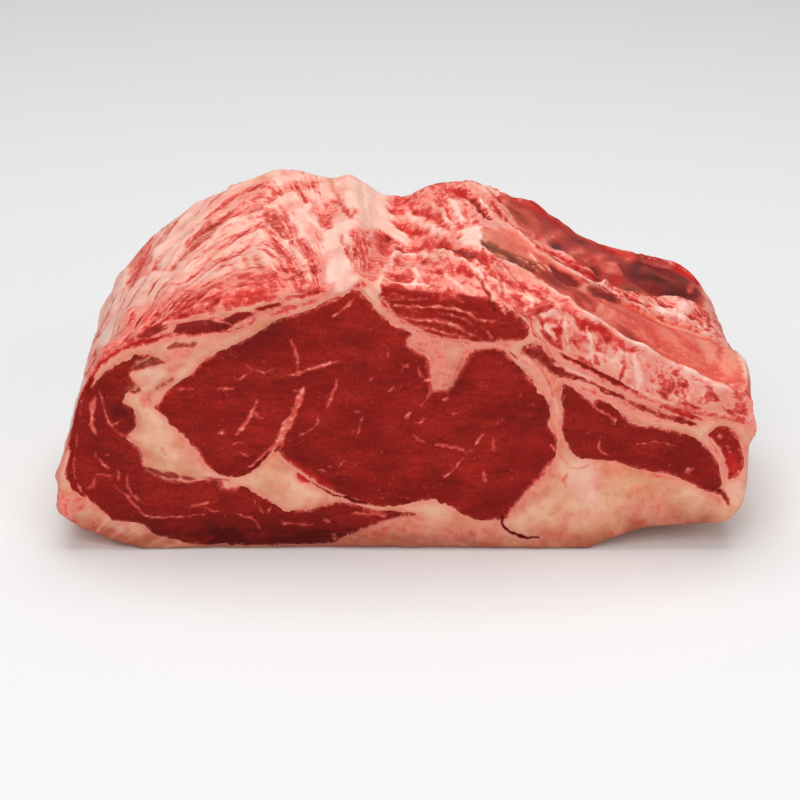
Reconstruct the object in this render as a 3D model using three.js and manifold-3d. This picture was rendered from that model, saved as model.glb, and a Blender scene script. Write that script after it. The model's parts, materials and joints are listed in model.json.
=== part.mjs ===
// A two-bone beef rib roast lying on its fat cap, in millimetres: X to the right, Y away, Z up.
// The cut face looks along -Y. Every muscle runs through the roast from that face to the back one.
import * as THREE from 'three';
import { mergeVertices } from 'three/addons/utils/BufferGeometryUtils.js';
import Module from 'manifold-3d';

const wasm = await Module();
wasm.setup();

// ---------------------------------------------------------------- driving dimensions

const THICKNESS = 110; // from the cut face to the back face
const FRONT = -THICKNESS / 2;
const BACK = THICKNESS / 2;
const RIM_RADIUS = 4; // soft edge round both cut faces
const GAP = 0.3; // between neighbouring pieces
const OVERRUN = 8; // how far a cutting prism stands out of each face
const SKY = 150; // higher than any point of the roast

// Outlines are drawn on the cut face. This is where the part's origin lies in that drawing.
const ORIGIN_X = -1;
const UNDERSIDE = -3;
const MIDDLE_HEIGHT = 50; // the rim draws in towards this height

const BONE_THICKNESS = 13;
const BONE_PROUD = 1.5; // how far the middle of a bone stands above the flesh
const END_ROUNDING = 14; // the length over which each end of a bone draws in
const END_DRAW_IN = 0.3; // the share of its section that a bone loses there
const SECTION_SQUARENESS = 0.7; // 1 gives an oval section, less a squarer one
const BONE_SIDES = 16;
const BONE_STEPS = 10;

const BODY_STEPS = 11;
const BODY_SPACING = 7; // between the points of the outer outline
const MUSCLE_STEPS = 3;
const MUSCLE_SPACING = 5;
const SHARPEST_MITRE = 0.35; // how far a sharp corner of a grown outline may run out

const LIFT_POWER = 1.5; // how quickly the rise of the back dies away below the surface

// ---------------------------------------------------------------- outlines on the cut face

// The upper edge of the cut face, from the left shoulder to the rib ends.
const TOP_EDGE = [
  [-128.5, 61], [-125, 70], [-120, 78], [-113, 84.5], [-104, 90], [-90, 97.5], [-75, 102.5],
  [-60, 105.5], [-45, 107.5], [-32, 109], [-22, 111], [-12, 109.5], [4, 107], [18, 105.5],
  [30, 104], [40, 101.5], [48, 100.5], [56, 102], [64, 99.5], [77, 92], [90, 84], [103, 76.5],
  [112, 72], [120, 67.5], [129, 64.5],
];

// The right end, the flat underside and the left side.
const LOWER_EDGE = [
  [133, 61.5], [136, 54], [137, 48], [135.6, 41], [135.6, 30], [134.8, 21], [132.6, 13.6],
  [127.4, 8.8], [119, 7], [106, 6], [95, 4.6], [85, 1], [76, -2.3], [70, UNDERSIDE],
  [30, UNDERSIDE], [-20, UNDERSIDE], [-70, UNDERSIDE], [-104, UNDERSIDE], [-110, -2.2],
  [-118.6, -0.4], [-128, 3.6], [-135, 8.6], [-138.8, 14], [-138.6, 22], [-136.6, 31],
  [-134, 40], [-131.5, 49],
];

const EYE_MUSCLE = [
  [-98, 58.5], [-93, 65], [-84, 72], [-78, 78], [-66, 85], [-57, 89.8], [-50, 94.8],
  [-40, 98], [-32, 101.3], [-25, 103.6], [-19, 104.6], [-12, 98.5], [-5, 92.8], [2, 89.2],
  [1.5, 84.5], [9, 80.5], [10.5, 72.5], [12, 66], [16.5, 67.5], [20.5, 76], [23, 81],
  [30, 83], [37, 82.3], [43, 76], [50, 68], [55.5, 59.5], [56, 51], [59.3, 46], [59, 38],
  [56, 29.5], [50, 24], [45, 17.5], [40, 11.7], [31, 9.5], [24, 11.5], [18, 15.6], [10, 19],
  [0, 17], [-11, 16], [-22, 19.3], [-35, 25.3], [-43, 31.3], [-51, 40], [-57, 34.5],
  [-64, 29.3], [-71, 28.8], [-78, 33], [-83, 41], [-90, 49],
];

const CAP_MUSCLE = [
  [-124, 65.6], [-127.4, 60], [-128.6, 51], [-130.2, 40], [-131.3, 30], [-128.5, 22.5],
  [-123, 16.5], [-116, 10.4], [-105, 8.2], [-100, 3.6], [-91, 1.4], [-84, -0.6], [-58, -0.8],
  [-34, -0.5], [-24, 1.6], [-12, 7.3], [-3, 10.8], [5, 11.4], [-2, 13.8], [-12, 14.3],
  [-22, 17], [-29, 17.6], [-37, 15.2], [-47, 14.4], [-56, 20], [-68, 26.3], [-80, 27.4],
  [-91, 27], [-102.4, 32.5], [-104, 40], [-109.4, 45.2], [-105.8, 50], [-106, 56.5],
  [-110.4, 61.5], [-105, 66.5], [-107, 73], [-98, 80.4], [-107, 79.6], [-117, 72.5],
];

const UNDER_RIB_MUSCLE = [
  [44.6, 80.5], [46, 83.6], [51, 84.5], [55, 82.5], [58.5, 77.3], [66, 73.8], [76, 69],
  [88, 61.4], [100, 57], [112, 52.6], [112, 51], [100, 54], [88, 58.6], [76, 65.8],
  [66, 69.8], [58, 71.4], [52, 76.6],
];

const RIB_MUSCLE = [
  [60.6, 48.4], [61.2, 58], [61.2, 66], [63.4, 67.6], [67.5, 65], [72, 60.8], [76, 61.3],
  [82, 58], [89, 51.2], [98, 50], [107, 48], [113.5, 45], [119, 40.5], [123.4, 33], [124.6, 24.5],
  [119.5, 22], [110.5, 27.4], [100, 30.4], [91, 32], [82, 35.4], [72, 36.4], [65.5, 38.8],
];

const RIB_END_MUSCLE = [
  [118.6, 46.4], [122.5, 50], [127, 49.8], [130.5, 45], [132.8, 38], [132.6, 31.5], [127.4, 27.6],
  [126.2, 33], [123, 38.6],
];

// Lower edges of the layers that come out on top. Each layer is what lies above its edge.
const SIDE_FLESH_EDGE = [
  [-132, 66], [-126.5, 66.6], [-120, 74.6], [-112, 81], [-100, 85.4], [-88, 88.2], [-72, 89.6],
  [-61, 92.4], [-56, 97.8], [-42, 101.2], [-30, 105], [-27.5, 112],
];

const UPPER_MUSCLE_EDGE = [
  [-14.5, 112], [-13, 107], [-8, 101.5], [-4, 95.8], [6, 89.8], [18, 86], [32, 85.2], [45, 86.4],
  [47.6, 90], [46, 94], [40, 99], [34, 104.5], [29, 111],
];

const RIB_FLESH_EDGE = [
  [30, 112], [34.8, 105.6], [41, 99.8], [47.4, 94.4], [49.6, 89], [54, 85.4], [64, 78], [76, 71.6],
  [88, 64.4], [99, 60], [110, 56.4], [122, 53.6], [131, 51.4], [142, 49],
];

// ---------------------------------------------------------------- how the section changes

const clamp01 = (t) => Math.min(1, Math.max(0, t));
const smooth = (t) => clamp01(t) ** 2 * (3 - 2 * clamp01(t));
const bell = (t) => Math.exp(-t * t);

// A smooth curve through a short list of (position, value) pairs, level beyond both ends.
function profile(pairs) {
  const last = pairs.length - 1;
  const slope = pairs.map((_, i) => {
    const [before, after] = [pairs[Math.max(i - 1, 0)], pairs[Math.min(i + 1, last)]];
    return (after[1] - before[1]) / (after[0] - before[0]);
  });
  return (at) => {
    if (at <= pairs[0][0]) return pairs[0][1];
    if (at >= pairs[last][0]) return pairs[last][1];
    const i = pairs.findIndex(([position]) => position > at) - 1;
    const [[from, low], [to, high]] = [pairs[i], pairs[i + 1]];
    const width = to - from;
    const t = (at - from) / width;
    const bend = t * (1 - t) * width * ((1 - t) * slope[i] - t * slope[i + 1]);
    return low + (high - low) * smooth(t) + bend;
  };
}

const topEdge = profile([[-139, 60], ...TOP_EDGE, [137, 62]]);

// How much higher the back face stands than the cut face.
const backRise = profile([
  [-134, 0], [-104, 5], [-80, 10.5], [-50, 15.5], [-23, 7], [-8, 5], [6, 7.5], [24, 5],
  [50, 2], [70, -1.5], [84, 1], [104, 7], [120, 8], [134, -4],
]);

// The roll behind the upper muscle and the hub of the ribs, reached a little way in.
const shoulderRise = profile([[2, 0], [18, 6], [32, 9], [46, 6.5], [60, 0]]);

function relief(x, y) {
  const into = smooth((y + 38) / 30) * (1 - 0.55 * smooth((y - 22) / 33));
  const valley = -7.5 * bell((x - 3 + 0.12 * y) / 13) * into;
  const ridge = 2.2 * bell((x + 21 + 0.03 * y) / 6);
  const hollow = -3.5 * bell((x + 62) / 26) * bell(y / 34);
  return valley + ridge + hollow;
}

function rise(x, y) {
  const depth = (y - FRONT) / THICKNESS;
  return backRise(x) * depth + shoulderRise(x) * smooth((y - FRONT) / 34) + relief(x, y);
}

// Takes a point of the drawing (x, z) at depth y to its place in the roast.
function place(x, z, y) {
  const top = topEdge(x) - UNDERSIDE;
  const height = Math.max(0, z - UNDERSIDE);
  const share = clamp01(height / top);
  const lift = rise(x, y) * share ** LIFT_POWER;
  return new THREE.Vector3(x - ORIGIN_X, y, height + lift);
}

const surfaceHeight = (x, y) => place(x, topEdge(x), y).z;

// ---------------------------------------------------------------- solids

function smoothOutline(points, spacing) {
  const curve = new THREE.SplineCurve([...points, points[0]].map(([x, z]) => new THREE.Vector2(x, z)));
  const count = Math.round(curve.getLength() / spacing);
  return curve.getSpacedPoints(count).slice(0, -1);
}

// The region above an open edge, closed far above the roast.
function layerOutline(edge, spacing) {
  const curve = new THREE.SplineCurve(edge.map(([x, z]) => new THREE.Vector2(x, z)));
  const count = Math.round(curve.getLength() / spacing);
  const points = curve.getSpacedPoints(count);
  const [first, last] = [points[0], points[points.length - 1]];
  return [new THREE.Vector2(first.x, SKY), ...points, new THREE.Vector2(last.x, SKY)];
}

// Moves every side of an outline outwards by one distance, with mitred corners.
function grown(outline, distance) {
  const outward = THREE.ShapeUtils.isClockWise(outline) ? -1 : 1;
  const normalOf = (from, to) => new THREE.Vector2(to.y - from.y, from.x - to.x).normalize();
  return outline.map((point, i) => {
    const before = normalOf(outline[(i + outline.length - 1) % outline.length], point);
    const after = normalOf(point, outline[(i + 1) % outline.length]);
    const corner = before.clone().add(after).normalize();
    const mitre = distance / Math.max(SHARPEST_MITRE, corner.dot(after));
    return point.clone().addScaledVector(corner, outward * mitre);
  });
}

function moveVertices(geometry, move) {
  const position = geometry.getAttribute('position');
  for (let i = 0; i < position.count; i += 1) {
    const target = move(position.getX(i), position.getY(i), position.getZ(i));
    position.setXYZ(i, target.x, target.y, target.z);
  }
  return geometry;
}

function toSolid(geometry) {
  geometry.deleteAttribute('normal');
  geometry.deleteAttribute('uv');
  const merged = mergeVertices(geometry, 1e-4);
  const mesh = new wasm.Mesh({
    numProp: 3,
    vertProperties: merged.getAttribute('position').array,
    triVerts: new Uint32Array(merged.index.array),
  });
  return new wasm.Manifold(mesh);
}

function prism(outline) {
  const depth = THICKNESS + 2 * OVERRUN;
  const shape = new THREE.Shape(outline);
  const geometry = new THREE.ExtrudeGeometry(shape, { depth, steps: MUSCLE_STEPS, bevelEnabled: false });
  return toSolid(moveVertices(geometry, (x, z, along) => place(x, z, BACK + OVERRUN - along)));
}

// The whole roast: its outline run through the depth, drawn in round the rim of both faces.
function wholeRoast() {
  const outline = smoothOutline([...TOP_EDGE, ...LOWER_EDGE], BODY_SPACING);
  const shape = new THREE.Shape(outline);
  const geometry = new THREE.ExtrudeGeometry(shape, { depth: 1, steps: BODY_STEPS, bevelEnabled: false });
  const middle = new THREE.Vector2(0, MIDDLE_HEIGHT);
  const rounded = (x, z, along) => {
    const y = BACK - THICKNESS * (0.5 - 0.5 * Math.cos(Math.PI * along));
    const edge = Math.max(0, RIM_RADIUS - Math.min(BACK - y, y - FRONT));
    const inset = RIM_RADIUS - Math.sqrt(RIM_RADIUS ** 2 - edge ** 2);
    const point = new THREE.Vector2(x, z).sub(middle);
    point.setLength(point.length() - inset).add(middle);
    return place(point.x, point.y, y);
  };
  return toSolid(moveVertices(geometry, rounded));
}

// A flat rib bone let into the surface. `near` and `far` give its edges along its length.
// `margin` grows it on every side, and `reach` draws its upper half up, to cut its bed open.
function ribBone({ start, end, near, far }, margin = 0, reach = 0) {
  const shape = new THREE.Shape();
  shape.absellipse(0, 0, 1, 1, 0, 2 * Math.PI, false);
  const options = { depth: 1, steps: BONE_STEPS, curveSegments: BONE_SIDES, bevelEnabled: false };
  const geometry = new THREE.ExtrudeGeometry(shape, options);
  const flattened = (across, up, along) => {
    const x = start - margin + (end - start + 2 * margin) * along;
    const ending = Math.max((x - end) / END_ROUNDING + 1, (start - x) / END_ROUNDING + 1);
    const taper = 1 - END_DRAW_IN * clamp01(ending) ** 3;
    const y = (near(x) + far(x)) / 2 + across * ((far(x) - near(x)) / 2 * taper + margin);
    const halfThickness = (BONE_THICKNESS / 2) * taper + margin;
    const middle = surfaceHeight(x, y) + BONE_PROUD - BONE_THICKNESS / 2;
    const fullness = Math.sign(up) * Math.abs(up) ** SECTION_SQUARENESS;
    const z = middle + fullness * halfThickness + reach * smooth(up * BONE_SIDES / 2);
    return new THREE.Vector3(x - ORIGIN_X, y, z);
  };
  return toSolid(moveVertices(geometry, flattened));
}

// ---------------------------------------------------------------- the pieces

const COLOURS = {
  lean: 0x8c1f1a,
  cap: 0x7c1a15,
  fat: 0xe8ad8d,
  marbled: 0xd8766a,
  bone: 0xc96a58,
};
const MOIST_FLESH = 0.45; // roughness
const SMOOTH_FAT = 0.5;
const WET_BONE = 0.3;

const roast = new THREE.Group();

function addPiece(name, solid, colour, roughness) {
  const { vertProperties, triVerts, numProp } = solid.getMesh();
  const geometry = new THREE.BufferGeometry();
  const positions = new Float32Array((vertProperties.length / numProp) * 3);
  for (let i = 0; i < positions.length / 3; i += 1) {
    positions.set(vertProperties.subarray(i * numProp, i * numProp + 3), i * 3);
  }
  geometry.setAttribute('position', new THREE.BufferAttribute(positions, 3));
  geometry.setIndex(new THREE.BufferAttribute(triVerts, 1));
  geometry.computeVertexNormals();
  const material = new THREE.MeshStandardMaterial({ color: colour, roughness, metalness: 0 });
  const mesh = new THREE.Mesh(geometry, material);
  mesh.name = name;
  roast.add(mesh);
}

const frontBone = {
  start: 30,
  end: 135.2,
  near: profile([[30, -20], [40, -25], [50, -33], [60, -44], [70, -51.5], [134, -52]]),
  far: profile([[30, 6], [38, 11], [46, 6], [54, -4], [64, -9], [78, -12], [100, -12], [134, -10]]),
};
const backBone = {
  start: 40,
  end: 127.5,
  near: profile([[40, 34], [47, 22], [56, 14], [66, 9], [80, 4], [90, 4], [100, 10], [112, 17], [128, 20]]),
  far: profile([[40, 46], [52, 51], [128, 51.5]]),
};

const body = wholeRoast();
const bones = [frontBone, backBone];
const boneBeds = bones.map((bone) => ribBone(bone, GAP, SKY));

const through = (points) => smoothOutline(points, MUSCLE_SPACING);
const onTop = (edge) => layerOutline(edge, MUSCLE_SPACING);
const muscles = [
  { name: 'eye_muscle', outline: through(EYE_MUSCLE), colour: COLOURS.lean },
  { name: 'cap_muscle', outline: through(CAP_MUSCLE), colour: COLOURS.cap },
  { name: 'under_rib_muscle', outline: through(UNDER_RIB_MUSCLE), colour: COLOURS.lean },
  { name: 'rib_muscle', outline: through(RIB_MUSCLE), colour: COLOURS.cap },
  { name: 'rib_end_muscle', outline: through(RIB_END_MUSCLE), colour: COLOURS.cap },
  { name: 'side_flesh', outline: onTop(SIDE_FLESH_EDGE), colour: COLOURS.marbled },
  { name: 'upper_muscle', outline: onTop(UPPER_MUSCLE_EDGE), colour: COLOURS.lean },
  { name: 'rib_flesh', outline: onTop(RIB_FLESH_EDGE), colour: COLOURS.marbled },
];

let fat = body;
for (const { name, outline, colour } of muscles) {
  let piece = prism(outline).intersect(body);
  fat = fat.subtract(prism(grown(outline, GAP)));
  for (const bed of boneBeds) piece = piece.subtract(bed);
  addPiece(name, piece, colour, MOIST_FLESH);
}
for (const bed of boneBeds) fat = fat.subtract(bed);
addPiece('fat_body', fat, COLOURS.fat, SMOOTH_FAT);

addPiece('rib_bone_front', ribBone(frontBone), COLOURS.bone, WET_BONE);
addPiece('rib_bone_back', ribBone(backBone), COLOURS.bone, WET_BONE);

export default roast;
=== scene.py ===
"""A raw two-bone beef rib roast, lying on its fat cap, dressed around its solid frame.

The roast is shaped in millimetres on the drawing of its cut face: x to the right, z up, y away.
The last step of each piece lifts it to its place in the frame and turns millimetres into metres.
"""
import itertools
import json
import math

import bmesh
import bpy
import numpy as np
from mathutils import Matrix, Vector, kdtree

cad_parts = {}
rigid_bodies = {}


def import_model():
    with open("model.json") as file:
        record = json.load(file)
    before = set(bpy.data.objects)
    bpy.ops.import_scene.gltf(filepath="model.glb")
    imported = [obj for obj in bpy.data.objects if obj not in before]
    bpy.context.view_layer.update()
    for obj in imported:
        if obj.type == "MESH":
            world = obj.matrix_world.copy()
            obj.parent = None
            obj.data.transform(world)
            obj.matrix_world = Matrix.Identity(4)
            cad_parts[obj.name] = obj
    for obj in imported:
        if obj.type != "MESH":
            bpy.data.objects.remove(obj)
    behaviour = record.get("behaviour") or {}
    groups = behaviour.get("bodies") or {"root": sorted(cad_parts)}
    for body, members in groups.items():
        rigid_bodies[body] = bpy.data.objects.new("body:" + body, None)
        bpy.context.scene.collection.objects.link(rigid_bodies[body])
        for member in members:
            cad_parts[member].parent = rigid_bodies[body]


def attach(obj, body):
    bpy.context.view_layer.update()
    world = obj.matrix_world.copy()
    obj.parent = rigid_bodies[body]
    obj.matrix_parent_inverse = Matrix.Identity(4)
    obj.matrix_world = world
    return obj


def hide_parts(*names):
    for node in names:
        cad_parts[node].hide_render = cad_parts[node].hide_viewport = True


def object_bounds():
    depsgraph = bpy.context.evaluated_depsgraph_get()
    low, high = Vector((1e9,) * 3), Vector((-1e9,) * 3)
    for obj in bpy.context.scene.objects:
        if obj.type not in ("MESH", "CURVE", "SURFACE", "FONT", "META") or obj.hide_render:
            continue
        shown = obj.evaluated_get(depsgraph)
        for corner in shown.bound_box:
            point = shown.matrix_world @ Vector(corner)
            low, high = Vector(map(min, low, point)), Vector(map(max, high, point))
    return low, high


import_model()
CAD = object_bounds()

bl_info = {
    "name": "Beef rib roast",
    "version": (1, 0, 0),
    "blender": (4, 5, 0),
    "location": "View3D > Sidebar > Roast",
    "description": "Builds a raw beef rib roast with its muscles, fat and rib bones",
    "category": "Add Mesh",
}

# ---------------------------------------------------------------- sizes, in millimetres

MM = 0.001
FRONT, BACK = CAD[0].y / MM, CAD[1].y / MM
THICKNESS = BACK - FRONT
RIM_RADIUS = 4.0
ORIGIN_X = -1.0  # the frame's origin in the drawing
UNDERSIDE = -3.0
MIDDLE_HEIGHT = 50.0  # the rims are drawn in towards the middle of the section
LIFT_POWER = 1.5  # the top rises most with depth, the underside not at all
SKY = 150.0  # above all of the roast
OVERRUN = 8.0  # how far the cutters reach out of both faces
BONE_DEPTH = 11.5  # from the surface down to the underside of a rib bone
SEAM_REACH = 12.0  # how far from the edge of a muscle a seam is felt
LEAN_BELOW = 0.3  # a ground with a smaller share of fat than this is lean

# The stretches of the upper side along x, from the fat ridge to the right end.
RIDGE_START, VALLEY_START, RIBS_START, END_START = -27, -12, 46, 118
FAN_MIDDLE = -62  # the fibres of the side layer arch about this line
VALLEY_MIDDLE = 3  # and those of the valley about this one
CORNER_X, CORNER_Z = -128, 8  # the torn lower left corner of the cut face

# How finely things are divided.
COLUMNS, ROWS = 430, 170
RIM_STEPS, DEPTH_SPACING = 6, 1.25
MUSCLE_SPACING, LAYER_SPACING, SEAM_SPACING = 0.6, 0.7, 1.5  # of the points along an outline
PRISM_CUTS, BONE_CUTS_ALONG, BONE_CUTS_ACROSS = 7, 70, 14
FAT_SHARE = 0.62  # what is left of the faces of the fat

AIM = Vector((-1.3, FRONT, 64.5))  # where the camera looks

# How far the edges of the muscles wander, and how strong the relief is.
SHAPE = {"ragged": 0.75, "relief": 1.0}

# The upper edge of the cut face, from the left shoulder to the rib ends.
TOP_EDGE = [
    (-128.5, 61), (-125, 70), (-120, 78), (-113, 84.5), (-104, 90), (-90, 97.5), (-75, 102.5),
    (-60, 105.5), (-45, 107.5), (-32, 109), (-22, 111), (-12, 109.5), (4, 107), (18, 105.5),
    (30, 104), (40, 101.5), (48, 100.5), (56, 102), (64, 99.5), (77, 92), (90, 84), (103, 76.5),
    (112, 72), (120, 67.5), (129, 64.5),
]
RIGHT_END = [
    (133, 61.5), (136, 54), (137, 48), (135.6, 41), (135.6, 30), (134.8, 21), (132.6, 13.6),
    (127.4, 8.8),
]
BOTTOM_EDGE = [
    (119, 8), (106, 7), (95, 5.6), (85, 2), (76, -1.8), (70, UNDERSIDE), (30, UNDERSIDE),
    (-20, UNDERSIDE), (-70, UNDERSIDE), (-103, UNDERSIDE), (-110, -1.6), (-118.6, 0.8), (-128, 5),
]
LEFT_SIDE = [(-135, 9.8), (-138.8, 14), (-138.6, 22), (-136.6, 31), (-134, 40), (-131.5, 49)]

EYE_MUSCLE = [
    (-98, 58.5), (-93, 65), (-84, 72), (-78, 78), (-66, 85), (-57, 89.8), (-50, 94.8),
    (-40, 98), (-32, 101.3), (-25, 103.6), (-19, 104.6), (-12, 98.5), (-5, 92.8), (2, 89.2),
    (1.5, 84.5), (9, 80.5), (10.5, 72.5), (12, 66), (16.5, 67.5), (20.5, 76), (23, 81),
    (30, 83), (37, 82.3), (43, 76), (50, 68), (55.5, 59.5), (56, 51), (59.3, 46), (59, 38),
    (56, 29.5), (50, 24), (45, 17.5), (40, 11.7), (31, 9.5), (24, 11.5), (18, 15.6), (10, 19),
    (0, 17), (-11, 16), (-22, 19.3), (-35, 25.3), (-43, 31.3), (-51, 40), (-57, 34.5),
    (-64, 29.3), (-71, 28.8), (-78, 33), (-83, 41), (-90, 49),
]
CAP_MUSCLE = [
    (-124, 65.6), (-127.4, 60), (-128.6, 51), (-130.2, 40), (-131.3, 30), (-128.5, 22.5),
    (-123, 16.5), (-116, 10.4), (-105, 8.2), (-100, 3.6), (-91, 1.4), (-84, -0.6), (-58, -0.8),
    (-34, -0.5), (-24, 1.6), (-12, 7.3), (-3, 10.8), (5, 11.4), (-2, 13.8), (-12, 14.3),
    (-22, 17), (-29, 17.6), (-37, 15.2), (-47, 14.4), (-56, 20), (-68, 26.3), (-80, 27.4),
    (-91, 27), (-102.4, 32.5), (-104, 40), (-109.4, 45.2), (-105.8, 50), (-106, 56.5),
    (-110.4, 61.5), (-105, 66.5), (-107, 73), (-98, 80.4), (-107, 79.6), (-117, 72.5),
]
UNDER_RIB_MUSCLE = [
    (44.6, 80.5), (46, 83.6), (51, 84.5), (55, 82.5), (58.5, 77.3), (66, 73.8), (76, 69),
    (88, 61.4), (100, 57), (112, 52.6), (112, 51), (100, 54), (88, 58.6), (76, 65.8),
    (66, 69.8), (58, 71.4), (52, 76.6),
]
RIB_MUSCLE = [
    (60.6, 48.4), (61.2, 58), (61.2, 66), (63.4, 67.6), (67.5, 65), (72, 60.8), (76, 61.3),
    (82, 58), (89, 51.2), (98, 50), (107, 48), (113.5, 45), (119, 40.5), (123.4, 33), (124.6, 24.5),
    (119.5, 22), (110.5, 27.4), (100, 30.4), (91, 32), (82, 35.4), (72, 36.4), (65.5, 38.8),
]
RIB_END_MUSCLE = [
    (118.6, 46.4), (122.5, 50), (127, 49.8), (130.5, 45), (132.8, 38), (132.6, 31.5), (127.4, 27.6),
    (126.2, 33), (123, 38.6),
]

# Lower edges of the layers that come out on top. Each layer is what lies above its edge.
SIDE_FLESH_EDGE = [
    (-132, 66), (-126.5, 66.6), (-120, 74.6), (-112, 81), (-100, 85.4), (-88, 88.2), (-72, 89.6),
    (-61, 92.4), (-56, 97.8), (-42, 101.2), (-30, 105), (-27.5, 112),
]
UPPER_MUSCLE_EDGE = [
    (-14.5, 112), (-13, 107), (-8, 101.5), (-4, 95.8), (6, 89.8), (18, 86), (32, 85.2), (45, 86.4),
    (47.6, 90), (46, 94), (40, 99), (34, 104.5), (29, 111),
]
RIB_FLESH_EDGE = [
    (30, 112), (34.8, 105.6), (41, 99.8), (47.4, 94.4), (49.6, 89), (54, 85.4), (64, 78), (76, 71.6),
    (88, 64.4), (99, 60), (110, 56.4), (122, 53.6), (131, 51.4), (142, 49),
]

# ---------------------------------------------------------------- what each kind of mark is

# Share of fat, fresh red, darkness, grey and whiteness, then how far the mark stands proud and how
# soft its edge is, in mm.
KINDS = {
    "vein": (0.5, 0.1, 0.0, 0.0, 0.1, 0.05, 0.7),
    "tallow": (1.0, 0.0, 0.0, 0.0, 0.4, 0.25, 3.0),
    "flush": (0.42, 1.0, 0.0, 0.0, 0.0, -0.20, 2.0),
    "veinlet": (0.8, 0.85, 0.05, 0.0, 0.0, -0.10, 0.35),
    "peach": (1.0, 0.0, 0.0, 0.0, 0.1, 0.10, 0.4),
    "cream": (1.0, 0.0, 0.0, 0.0, 0.8, 0.45, 0.8),
    "pink": (0.72, 0.3, 0.0, 0.0, 0.5, 0.10, 0.8),
    "rosy": (0.48, 0.4, 0.0, 0.0, 0.2, -0.25, 1.0),
    "red": (0.22, 0.5, 0.0, 0.0, 0.0, -0.45, 0.8),
    "blood": (0.12, 0.9, 0.0, 0.0, 0.0, -0.30, 1.4),
    "salmon": (0.6, 0.8, 0.0, 0.0, 0.0, 0.0, 2.4),
    "ruddy": (0.86, 0.34, 0.1, 0.0, 0.2, 0.0, 3.0),
    "lean": (0.0, 0.1, 0.15, 0.0, 0.0, -0.10, 0.4),
    "dark": (0.08, 0.1, 0.45, 0.0, 0.0, -0.90, 1.0),
    "crack": (0.0, 0.2, 0.62, 0.0, 0.0, -1.10, 0.4),
    "brown": (0.12, 0.3, 0.7, 0.06, 0.0, -0.50, 3.0),
    "umber": (0.22, 0.35, 0.5, 0.16, 0.0, -0.30, 4.0),
    "golden": (0.62, 0.45, 0.0, 0.22, 0.1, -0.20, 2.0),
    "mauve": (0.42, 0.2, 0.12, 0.16, 0.1, -0.35, 1.2),
    "membrane": (0.9, 0.05, 0.0, 0.4, 0.9, 0.20, 2.0),
    "olive": (0.14, 0.0, 0.5, 0.9, 0.0, -0.50, 2.0),
    "blush": (0.92, 0.3, 0.0, 0.0, 0.9, 0.10, 2.4),
    "liver": (0.3, 0.5, 0.34, 0.0, 0.0, -0.10, 4.0),
    "bruise": (0.3, 0.1, 0.35, 0.25, 0.1, -0.40, 0.8),
}
CHANNELS = 5

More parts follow.
